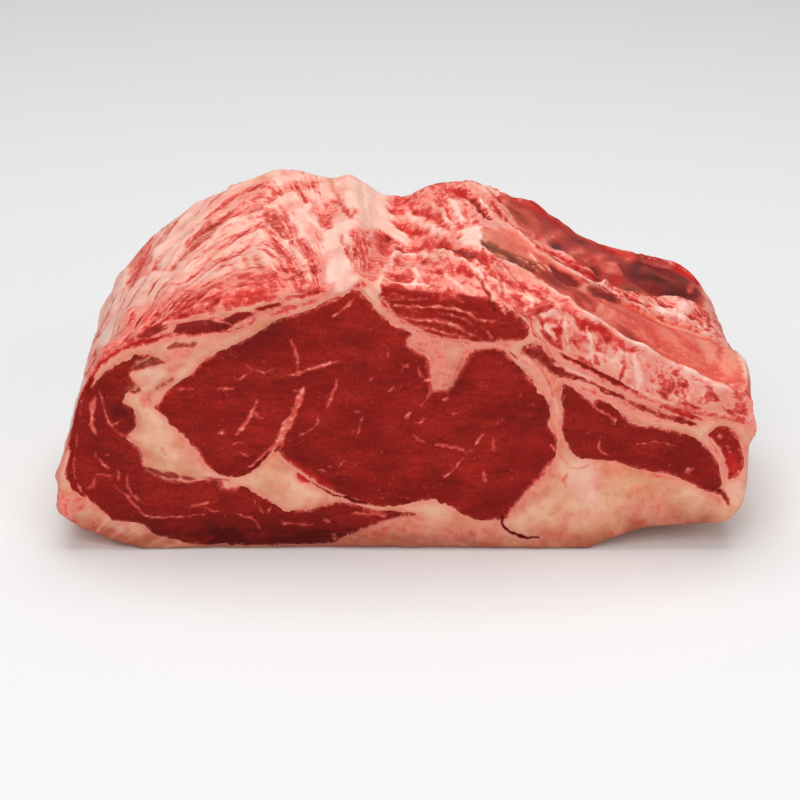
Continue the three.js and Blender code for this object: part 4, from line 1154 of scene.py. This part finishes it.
def prism(name, outline):
    """The outline run through the roast and out of both faces."""
    bm = bmesh.new()
    face = bm.faces.new([bm.verts.new((x, FRONT - OVERRUN, z)) for x, z in outline])
    grown = bmesh.ops.extrude_face_region(bm, geom=[face])["geom"]
    far_end = [item for item in grown if isinstance(item, bmesh.types.BMVert)]
    depth = THICKNESS + 2 * OVERRUN
    bmesh.ops.translate(bm, verts=far_end, vec=(0, depth, 0))
    bmesh.ops.subdivide_edges(bm, edges=edges_along(bm, 1, depth / 2), cuts=PRISM_CUTS)
    return solid_object(name, bm)


def bone_bed(name, start, end, near, far):
    """The space that a rib bone takes up, open to the sky."""
    bm = bmesh.new()
    bmesh.ops.create_cube(bm, size=1)
    for axis, cuts in ((0, BONE_CUTS_ALONG), (1, BONE_CUTS_ACROSS)):
        bmesh.ops.subdivide_edges(bm, edges=edges_along(bm, axis, 0.5), cuts=cuts, use_grid_fill=True)
    points = np.array([v.co for v in bm.verts])
    x = start + (points[:, 0] + 0.5) * (end - start)
    across = points[:, 1] * 2
    ending = np.maximum((x - end) / 9 + 1, (start - x) / 9 + 1)
    taper = 1 - 0.35 * np.clip(ending, 0, 1) ** 3
    y = (near(x) + far(x)) / 2 + across * (far(x) - near(x)) / 2 * taper
    y += 0.5 * noise(np.stack([x, across], 1), 5, 3) * (np.abs(across) > 0.95)
    floor = top_edge(x) - BONE_DEPTH + 4.5 * np.abs(across) ** 4
    z = np.where(points[:, 2] > 0, SKY, floor)
    for vertex, co in zip(bm.verts, np.stack([x, y, z], 1)):
        vertex.co = co
    return solid_object(name, bm)


def part_with(obj, operation, cutter):
    """Takes the cutter's space off the piece, or all but that space."""
    modifier = obj.modifiers.new("part", "BOOLEAN")
    modifier.operation = operation
    modifier.solver = "MANIFOLD"
    modifier.object = cutter


def settle(obj):
    """Replaces an object's mesh by what its modifiers make of it."""
    graph = bpy.context.evaluated_depsgraph_get()
    mesh = bpy.data.meshes.new_from_object(obj.evaluated_get(graph))
    obj.modifiers.clear()
    obj.data = mesh
    return obj


def outlines():
    """The outline of every muscle and layer by the name of its node."""
    through = {
        "eye_muscle": EYE_MUSCLE, "cap_muscle": CAP_MUSCLE, "under_rib_muscle": UNDER_RIB_MUSCLE,
        "rib_muscle": RIB_MUSCLE, "rib_end_muscle": RIB_END_MUSCLE,
    }
    on_top = {
        "side_flesh": SIDE_FLESH_EDGE, "upper_muscle": UPPER_MUSCLE_EDGE, "rib_flesh": RIB_FLESH_EDGE,
    }
    found = {name: muscle_outline(points) for name, points in through.items()}
    found.update({name: layer_outline(edge) for name, edge in on_top.items()})
    return found


def cutters():
    """The prisms of all muscles and the beds of both bones by the names of their nodes, made once."""
    prefix = "cutter_"
    if prefix + "eye_muscle" not in bpy.data.objects:
        for name, outline in outlines().items():
            prism(prefix + name, outline)
        for name, bone in BONES.items():
            bone_bed(prefix + name, **bone)
    made = [obj for obj in bpy.data.objects if obj.name.startswith(prefix)]
    return {obj.name.removeprefix(prefix): obj for obj in made}


# What the ground of each piece is on the cut face: fat, fresh red, darkness, grey, whiteness, and
# how much streaks and mottles vary the fat.
FACE_GROUND = {
    "eye_muscle": (0.0, 0.08, 0.05, 0.0, 0.0, 0.01, 0.04),
    "cap_muscle": (0.0, 0.05, 0.16, 0.0, 0.0, 0.02, 0.07),
    "under_rib_muscle": (0.12, 0.1, 0.2, 0.0, 0.1, 0.2, 0.16),
    "rib_muscle": (0.0, 0.05, 0.14, 0.0, 0.0, 0.02, 0.07),
    "rib_end_muscle": (0.05, 0.2, 0.15, 0.0, 0.1, 0.05, 0.16),
    "upper_muscle": (0.08, 0.25, 0.12, 0.0, 0.1, 0.2, 0.1),
    "side_flesh": (0.55, 0.45, 0.0, 0.0, 0.4, 0.6, 0.3),
    "rib_flesh": (0.62, 0.3, 0.0, 0.0, 0.5, 0.2, 0.26),
    "fat_body": (0.95, 0.12, 0.0, 0.0, 0.22, 0.03, 0.12),
    "rib_bone_front": (0.9, 0.3, 0.0, 0.0, 0.3, 0.1, 0.1),
    "rib_bone_back": (0.9, 0.3, 0.0, 0.0, 0.3, 0.1, 0.1),
}
# The same of each stretch of the upper side.
TOP_GROUND = {
    "side": (0.82, 0.14, 0.0, 0.0, 0.74, 0.28, 0.12),
    "side_front": (0.5, 0.6, 0.0, 0.0, 0.4, 0.45, 0.3),
    "ridge": (0.96, 0.05, 0.0, 0.0, 0.8, 0.14, 0.1),
    "valley": (0.54, 0.45, 0.0, 0.0, 0.5, 0.16, 0.12),
    "ribs": (0.6, 0.4, 0.0, 0.0, 0.5, 0.2, 0.24),
    "bone": (0.54, 0.6, 0.0, 0.0, 0.0, 0.1, 0.1),
}


def cut_piece(name):
    """One piece of the whole roast, named after its node, still on the drawing."""
    beds = cutters()
    obj = new_object(name + "_cut", Roast.get().mesh)
    if name == "fat_body":
        for cutter in beds.values():
            part_with(obj, "DIFFERENCE", cutter)
    else:
        part_with(obj, "INTERSECT", beds[name])
    if name not in ("fat_body", *BONES):
        for bone in BONES:
            part_with(obj, "DIFFERENCE", beds[bone])
    return settle(obj)


def thin_out(obj, share):
    """Leaves fewer faces on the underside, on the back and where the piece lies against others."""
    roast = Roast.get()
    points = coordinates(obj.data)
    hidden = np.hypot(*(points - roast.points[roast.home(points)]).T[:2]) > 0.4
    hidden |= (points[:, 2] < UNDERSIDE + 1.5) | (points[:, 1] > BACK - RIM_RADIUS / 2)
    group = obj.vertex_groups.new(name="hidden")
    group.add(np.flatnonzero(hidden).tolist(), 1.0, "REPLACE")
    modifier = obj.modifiers.new("thin", "DECIMATE")
    modifier.ratio = share
    modifier.vertex_group = group.name
    return settle(obj)


def tissue_of(node, home):
    """What the flesh of a piece is at those points: fat, fresh red, darkness, grey and whiteness."""
    roast = Roast.get()
    face, on_top, left, added, ground = roast.known(home, "face", "upper", "left", "added", "top_ground")
    streaks, mottle, uneven, bone = roast.known(home, "streaks", "mottle", "uneven", "bone")
    lobed, threads, seam, shade, low = roast.known(home, "lobed", "threads", "seam", "shade", "low")
    corner, stain, pallor = roast.known(home, "corner", "stain", "pallor")

    ground = np.array(FACE_GROUND[node]) * (1 - on_top)[:, None] + ground * on_top[:, None]
    tissue = ground[:, :CHANNELS] * left[:, None] + added
    fat, fresh, dark, _, white = tissue.T
    is_lean = ground[:, 0] < LEAN_BELOW

    fat += lobed * (0.3 + 0.7 * left)
    white += 0.5 * threads
    fat += ground[:, 5] * streaks * (1 - bone) + ground[:, 6] * (uneven * bone + mottle * (1 - bone))
    fringe = bell(seam / 1.1) * face * (0.35 + 0.6 * mottle)
    fat += np.where(is_lean, fringe, -0.5 * fringe)
    fatty = np.clip(fat, 0, 1) ** 2
    fresh += 0.45 * fatty * np.clip(stain, -0.3, 1)
    white += (0.45 - 0.3 * on_top) * fatty * pallor
    # painted shade: the lower cut face darker, the band along its bottom edge darker still; the next line
    # also reddens that band's fat, beside the torn corner's stain
    dark += np.where(is_lean, shade, 0.35 * shade + 0.8 * low)
    fresh += fatty * (0.3 * low + 0.8 * corner * smooth(stain + 0.4))
    tissue[:, 1:4] *= (1 + uneven)[:, None]
    return np.clip(tissue, 0, 1)


def finish_piece(obj, node, slot):
    """Marks the piece's tissues, lifts it to its place and joins it to the frame."""
    mesh = obj.data
    points = coordinates(mesh)
    if not len(points):
        raise RuntimeError(node + " came out empty")
    roast = Roast.get()
    home = roast.home(points)
    seam, calm, grain = roast.known(home, "seam", "calm", "grain")
    tissue = tissue_of(node, home)
    store(mesh, "tissue", "FLOAT_COLOR", "color", tissue[:, :4])
    surface = np.stack([tissue[:, 4], seam / SEAM_REACH, calm], 1)
    store(mesh, "surface", "FLOAT_VECTOR", "vector", surface)
    store(mesh, "grain", "FLOAT_VECTOR", "vector", np.hstack([grain, points[:, 1:2]]) * MM)
    set_coordinates(mesh, place(points))
    mesh.shade_smooth()
    mesh.set_sharp_from_angle(angle=math.radians(50))
    mesh.materials.clear()
    mesh.materials.append(material(slot))
    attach(obj, "root")
    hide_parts(node)


def store(mesh, name, kind, key, values):
    """Keeps the values on the points of the mesh, as an attribute of that name."""
    attribute = mesh.attributes.new(name, kind, "POINT")
    attribute.data.foreach_set(key, values.astype(np.float32).ravel())


# ---------------------------------------------------------------- materials


def linear(code):
    """A colour given as six hexadecimal digits, as linear red, green, blue and alpha."""
    parts = [int(code[i:i + 2], 16) / 255 for i in (0, 2, 4)]
    return tuple(c / 12.92 if c <= 0.04045 else ((c + 0.055) / 1.055) ** 2.4 for c in parts) + (1.0,)


class Wire:
    """A shader socket that takes part in Python sums."""

    def __init__(self, tree, socket):
        self.tree = tree
        self.socket = socket

    def math(self, operation, *values):
        node = self.tree.nodes.new("ShaderNodeMath")
        node.operation = operation
        for slot, value in zip(node.inputs, values):
            connect(self.tree, slot, value)
        return Wire(self.tree, node.outputs[0])

    def __add__(self, other):
        return self.math("ADD", self, other)

    __radd__ = __add__

    def __sub__(self, other):
        return self.math("SUBTRACT", self, other)

    def __rsub__(self, other):
        return self.math("SUBTRACT", other, self)

    def __mul__(self, other):
        return self.math("MULTIPLY", self, other)

    __rmul__ = __mul__

    def clamped(self):
        return self.math("MINIMUM", self.math("MAXIMUM", self, 0.0), 1.0)


def connect(tree, slot, value):
    """Links a wire to a socket, or sets the socket to a plain value."""
    if isinstance(value, Wire):
        tree.links.new(value.socket, slot)
    else:
        slot.default_value = value


class Finish:
    """A material under construction."""

    def __init__(self, name):
        self.material = bpy.data.materials.new(name)
        self.material.use_nodes = True
        self.tree = self.material.node_tree
        self.shader = self.tree.nodes["Principled BSDF"]

    def node(self, kind, settings=None, inputs=None, output=0):
        """A new node with those settings and inputs, as the wire from one of its outputs."""
        node = self.tree.nodes.new(kind)
        for key, value in (settings or {}).items():
            setattr(node, key, value)
        for key, value in (inputs or {}).items():
            connect(self.tree, node.inputs[key], value)
        return Wire(self.tree, node.outputs[output])

    def attribute(self, name, output):
        return self.node("ShaderNodeAttribute", {"attribute_name": name}, output=output)

    def split(self, vector):
        node = self.tree.nodes.new("ShaderNodeSeparateXYZ")
        connect(self.tree, node.inputs[0], vector)
        return [Wire(self.tree, out) for out in node.outputs]

    def step(self, value, low, high):
        """0 below low, 1 above high, and smooth between."""
        inputs = {"Value": value, "From Min": low, "From Max": high}
        return self.node("ShaderNodeMapRange", {"interpolation_type": "SMOOTHSTEP"}, inputs)

    def mix(self, share, a, b):
        """The colour a where share is 0, and b where it is 1."""
        return self.node("ShaderNodeMix", {"data_type": "RGBA"}, {0: share, 6: a, 7: b}, 2)

    def noise(self, vector, scale, detail=2.0, roughness=0.5):
        inputs = {"Vector": vector, "Scale": scale, "Detail": detail, "Roughness": roughness}
        return self.node("ShaderNodeTexNoise", {}, inputs)

    def cells(self, vector, scale, feature="F1"):
        return self.node("ShaderNodeTexVoronoi", {"feature": feature}, {"Vector": vector, "Scale": scale})

    def warped(self, vector, scale, distance):
        """The vector, pushed about by noise of that scale, up to that distance."""
        push = self.node("ShaderNodeTexNoise", {}, {"Vector": vector, "Scale": scale}, "Color")
        away = self.node("ShaderNodeVectorMath", {"operation": "SUBTRACT"}, {0: push, 1: (0.5, 0.5, 0.5)})
        inputs = {0: away, 1: (distance,) * 3, 2: vector}
        return self.node("ShaderNodeVectorMath", {"operation": "MULTIPLY_ADD"}, inputs)

    def scaled(self, vector, x, y, z):
        return self.node("ShaderNodeVectorMath", {"operation": "MULTIPLY"}, {0: vector, 1: (x, y, z)})

    def set(self, **sockets):
        for name, value in sockets.items():
            connect(self.tree, self.shader.inputs[name.replace("_", " ")], value)


def meat(name, colours, surface):
    """The finish of flesh and fat. Each piece's tissue attribute says what lies where."""
    f = Finish(name)
    hue = {key: linear(code) for key, code in colours.items()}
    at = f.node("ShaderNodeTexCoord", output="Object")
    red_fat, fresh, dark = f.split(f.attribute("tissue", "Color"))
    grey = f.attribute("tissue", "Alpha")
    white, seam, calm = f.split(f.attribute("surface", "Vector"))
    grain = f.attribute("grain", "Vector")

    strand = f.noise(f.scaled(grain, 1300, 70, 70), 1.0, 3.0, 0.6)
    ribbon = f.noise(f.scaled(grain, 450, 28, 28), 1.0, 2.0)
    web = f.cells(f.scaled(grain, 300, 60, 60), 1.0, "DISTANCE_TO_EDGE")
    mesh_of_threads = f.cells(f.warped(at, 240.0, 0.005), 230.0, "DISTANCE_TO_EDGE")
    blotch = f.noise(at, 90.0, 3.0)
    clot = f.noise(at, 420.0, 3.0)
    fibre = f.cells(f.scaled(at, 1, 0.35, 1), 1050.0)
    speck = f.noise(at, 1300.0, 2.0)
    band = f.noise(f.scaled(at, 60, 60, 110), 1.0, 3.0)
    strip = f.noise(f.warped(f.scaled(at, 170, 60, 560), 1.0, 0.8), 1.0, 3.0, 0.6)
    fleck = f.noise(f.scaled(at, 1, 0.5, 1.3), 560.0, 1.0)
    thread = f.cells(f.warped(at, 300.0, 0.004), 130.0, "DISTANCE_TO_EDGE")
    lively = 1 - calm

    middle = red_fat * (1 - red_fat) * 4
    threads = (1 - f.step(web, 0.0, 0.09)) * f.step(blotch, 0.4, 0.6)
    cobweb = (1 - f.step(mesh_of_threads, 0.0, 0.1)) * f.step(clot, 0.4, 0.6)
    loose = ((strand - 0.5) * 2.4 + (ribbon - 0.5) * 1.8 + threads * 0.25) * lively
    loose = (loose + cobweb * 0.35 + (clot - 0.5) * 0.8) * surface["frayed"]
    fat = red_fat + loose * (middle * 0.6 + 0.12)

    lean_base = f.mix(f.step(band, 0.3, 0.66), hue["lean"], hue["lean_shade"])
    lean_strip = f.mix(f.step(strip, 0.45, 0.72) * 0.6, lean_base, hue["lean_dark"])
    lean_grain = f.mix(f.step(fibre, 0.25, 0.75) * 0.4, lean_strip, hue["lean_dark"])
    lines = (1 - f.step(thread, 0.0, 0.03)) * f.step(clot, 0.56, 0.68) * 0.3
    flecks = f.step(fleck, 0.66, 0.9) * 0.75 + f.step(speck, 0.6, 0.8) * 0.12 + lines * 0.4
    lean_light = f.mix(flecks.clamped(), lean_grain, hue["lean_light"])
    lean_fresh = f.mix((fresh + (blotch - 0.5) * 0.6).clamped() * 0.85, lean_light, hue["fresh"])
    # lean_deep is the colour of dark marks and of the painted shade on the lower cut face
    lean = f.mix((dark * 0.95).clamped(), lean_fresh, hue["lean_deep"])

    fat_base = f.mix(f.step(blotch, 0.28, 0.72), hue["fat"], hue["fat_light"])
    fat_clot = f.mix(f.step(clot, 0.5, 0.75) * 0.4, fat_base, hue["fat_shade"])
    fat_white = f.mix((white + (blotch - 0.5) * 0.4 * white).clamped(), fat_clot, hue["fat_white"])
    vessels = lines * 0.8 + f.step(speck, 0.62, 0.75) * 0.12
    stained = f.mix((fresh * (0.5 + clot * 0.9) + vessels).clamped(), fat_white, hue["stain"])
    near_lean = (1 - f.step(seam, 0.0, 0.28)) * calm * 0.6
    pinked = f.mix((near_lean * (0.1 + clot)).clamped(), stained, hue["stain"])
    # fat_dark is the colour of dark marks and of the painted shade along the bottom of the cut face
    fat_colour = f.mix((dark * 0.8).clamped(), pinked, hue["fat_dark"])

    # from lean through rosy and pink to fat
    rosy = f.mix((fresh * 0.8).clamped(), hue["rosy"], hue["stain"])
    rosy_dark = f.mix((dark * 0.9).clamped(), rosy, hue["lean_deep"])
    first = f.mix(f.step(fat, 0.08, 0.5), lean, rosy_dark)
    pink_dark = f.mix((dark * 0.8).clamped(), hue["pink"], hue["fat_dark"])
    second = f.mix(f.step(fat, 0.42, 0.74), first, pink_dark)
    flesh = f.mix(f.step(fat, 0.62, 0.95), second, fat_colour)
    greyed = f.mix(f.step(white, 0.35, 0.8), hue["olive"], hue["membrane"])
    greyed_dark = f.mix((dark * 0.8).clamped(), greyed, hue["lean_deep"])
    colour = f.mix((grey * (0.8 + (blotch - 0.5) * 0.8)).clamped(), flesh, greyed_dark)

    roughness = surface["roughness"] - (speck - 0.5) * 0.25
    bump_height = fibre * -0.3 + clot * 0.5 + (strand * 0.6 + ribbon) * lively * 0.8 + speck * 0.25
    bump = f.node("ShaderNodeBump", {}, {"Strength": 0.35, "Distance": 0.0006, "Height": bump_height})
    f.set(Base_Color=colour, Roughness=roughness, Normal=bump, Specular_IOR_Level=surface["shine"])
    f.set(Coat_Weight=lively * surface["wet"] + surface["film"], Coat_Roughness=0.22)
    f.set(Subsurface_Weight=surface["glow"], Subsurface_Scale=0.003, Subsurface_Radius=(1.0, 0.35, 0.2))
    return f.material


# lean_deep and fat_dark also colour the painted shade of the lower cut face
COLOURS = {
    "lean": "A8241C", "lean_shade": "86180F", "lean_dark": "64100D", "lean_light": "BE5A4A",
    "lean_deep": "480C0A", "fresh": "C2201E", "rosy": "CE4F45", "pink": "E88E80",
    "fat": "CE8965", "fat_light": "E2AB86", "fat_shade": "C66E50", "fat_white": "F4C7B9",
    "stain": "DC4E42", "fat_dark": "98503A", "olive": "9A6040", "membrane": "CDB0AA",
}
BONE_COLOURS = {"rosy": "CA493B", "pink": "E57F69", "stain": "D6463A"}
SURFACE = {"shine": 0.07, "glow": 0.08, "wet": 0.2, "roughness": 0.5, "frayed": 1.0, "film": 0.02}
BONE_SURFACE = {"shine": 0.14, "frayed": 0.4, "film": 0.14}


def material(slot):
    """One finish for each of the record's slots, made when first asked for."""
    name = "roast_" + slot
    if name in bpy.data.materials:
        return bpy.data.materials[name]
    if slot == "bone":
        return meat(name, {**COLOURS, **BONE_COLOURS}, {**SURFACE, **BONE_SURFACE})
    return meat(name, COLOURS, SURFACE)


# ---------------------------------------------------------------- operators


class RoastSettings(bpy.types.PropertyGroup):
    ragged: bpy.props.FloatProperty(
        name="Ragged edges", description="How far the edges of the muscles wander, in millimetres",
        default=SHAPE["ragged"], min=0, max=2)
    relief: bpy.props.FloatProperty(
        name="Relief", description="How deep seams, veins and fibres are cut into the surface",
        default=SHAPE["relief"], min=0, max=2, subtype="FACTOR")
    camera_distance: bpy.props.FloatProperty(
        name="Camera distance", description="From the camera to the middle of the cut face",
        default=1.1, min=0.3, unit="LENGTH")
    camera_tilt: bpy.props.FloatProperty(
        name="Camera tilt", description="How far the camera looks down",
        default=math.radians(22), unit="ROTATION")
    lens: bpy.props.FloatProperty(
        name="Lens", description="Focal length in millimetres", default=126.87, min=20)
    floor_colour: bpy.props.FloatVectorProperty(
        name="Floor", description="Colour of the floor", subtype="COLOR", default=(0.8, 0.8, 0.8))


class ROAST_OT_muscles(bpy.types.Operator):
    """Cuts out the muscles that run from the cut face through the roast"""
    bl_idname = "roast.muscles"
    bl_label = "Muscles"

    def execute(self, context):
        settings = context.scene.roast
        SHAPE.update(ragged=settings.ragged, relief=settings.relief)
        for node in ("eye_muscle", "cap_muscle", "under_rib_muscle", "rib_muscle", "rib_end_muscle"):
            finish_piece(cut_piece(node), node, "lean")
        return {"FINISHED"}


class ROAST_OT_top_layers(bpy.types.Operator):
    """Cuts out the layers of flesh that come out on top"""
    bl_idname = "roast.top_layers"
    bl_label = "Top layers"

    def execute(self, context):
        finish_piece(cut_piece("upper_muscle"), "upper_muscle", "lean")
        for node in ("side_flesh", "rib_flesh"):
            finish_piece(cut_piece(node), node, "marbled_flesh")
        return {"FINISHED"}


class ROAST_OT_bones(bpy.types.Operator):
    """Cuts out both rib bones under their membrane"""
    bl_idname = "roast.bones"
    bl_label = "Rib bones"

    def execute(self, context):
        for node in BONES:
            finish_piece(cut_piece(node), node, "bone")
        return {"FINISHED"}


class ROAST_OT_fat(bpy.types.Operator):
    """Leaves the fat that holds the muscles and bones together"""
    bl_idname = "roast.fat"
    bl_label = "Fat"

    def execute(self, context):
        obj = thin_out(cut_piece("fat_body"), FAT_SHARE)
        finish_piece(obj, "fat_body", "fat")
        for cutter in cutters().values():
            bpy.data.objects.remove(cutter)
        return {"FINISHED"}


# The lamps of the studio: name, place and size in metres, and power in watts.
LAMPS = [
    ("key", (-0.5, -1.5, 1.3), 1.2, 17),
    ("fill", (1.0, -1.3, 0.8), 1.0, 6.5),
    ("top", (0.0, 0.2, 1.5), 1.3, 17),
]
LIT = Vector((0, 0, 0.05))  # where they all point


def add_lamp(name, place_at, size, power):
    """A square lamp that points at the roast."""
    light = bpy.data.lights.new(name, "AREA")
    light.energy = power
    light.size = size
    lamp = new_object(name, light)
    lamp.location = place_at
    lamp.rotation_euler = (LIT - lamp.location).to_track_quat("-Z", "Y").to_euler()


class ROAST_OT_stage(bpy.types.Operator):
    """Adds the floor, the lights and the camera"""
    bl_idname = "roast.stage"
    bl_label = "Stage"

    def execute(self, context):
        settings = context.scene.roast
        bm = bmesh.new()
        bmesh.ops.create_grid(bm, x_segments=1, y_segments=1, size=6)
        floor = solid_object("floor", bm)
        finish = Finish("floor")
        finish.set(Base_Color=(*settings.floor_colour, 1), Roughness=0.8)
        floor.data.materials.append(finish.material)

        for lamp in LAMPS:
            add_lamp(*lamp)
        world = bpy.data.worlds.new("studio")
        world.use_nodes = True
        background = world.node_tree.nodes["Background"]
        background.inputs["Color"].default_value = (1, 1, 1, 1)
        background.inputs["Strength"].default_value = 0.25
        context.scene.world = world
        context.scene.view_settings.view_transform = "Standard"

        camera = new_object("camera", bpy.data.cameras.new("camera"))
        camera.data.lens = settings.lens
        camera.data.clip_end = 20
        tilt = settings.camera_tilt
        back = Vector((0, -math.cos(tilt), math.sin(tilt)))
        camera.location = AIM * MM + back * settings.camera_distance
        camera.rotation_euler = (math.pi / 2 - tilt, 0, 0)
        context.scene.camera = camera
        return {"FINISHED"}


class ROAST_PT_panel(bpy.types.Panel):
    """Lists the pieces of the roast and their settings"""
    bl_label = "Beef rib roast"
    bl_idname = "ROAST_PT_panel"
    bl_space_type = "VIEW_3D"
    bl_region_type = "UI"
    bl_category = "Roast"

    def draw(self, context):
        settings = context.scene.roast
        for key in ("ragged", "relief", "camera_distance", "camera_tilt", "lens", "floor_colour"):
            self.layout.prop(settings, key)
        for operator in OPERATORS:
            self.layout.operator(operator.bl_idname)


OPERATORS = (ROAST_OT_muscles, ROAST_OT_top_layers, ROAST_OT_bones, ROAST_OT_fat, ROAST_OT_stage)
CLASSES = (RoastSettings, *OPERATORS, ROAST_PT_panel)


def register():
    for item in CLASSES:
        bpy.utils.register_class(item)
    bpy.types.Scene.roast = bpy.props.PointerProperty(type=RoastSettings)


def unregister():
    del bpy.types.Scene.roast
    for item in reversed(CLASSES):
        bpy.utils.unregister_class(item)


def main():
    register()
    bpy.ops.roast.muscles()
    bpy.ops.roast.top_layers()
    bpy.ops.roast.bones()
    bpy.ops.roast.fat()
    bpy.ops.roast.stage()


if __name__ == "__main__":
    main()
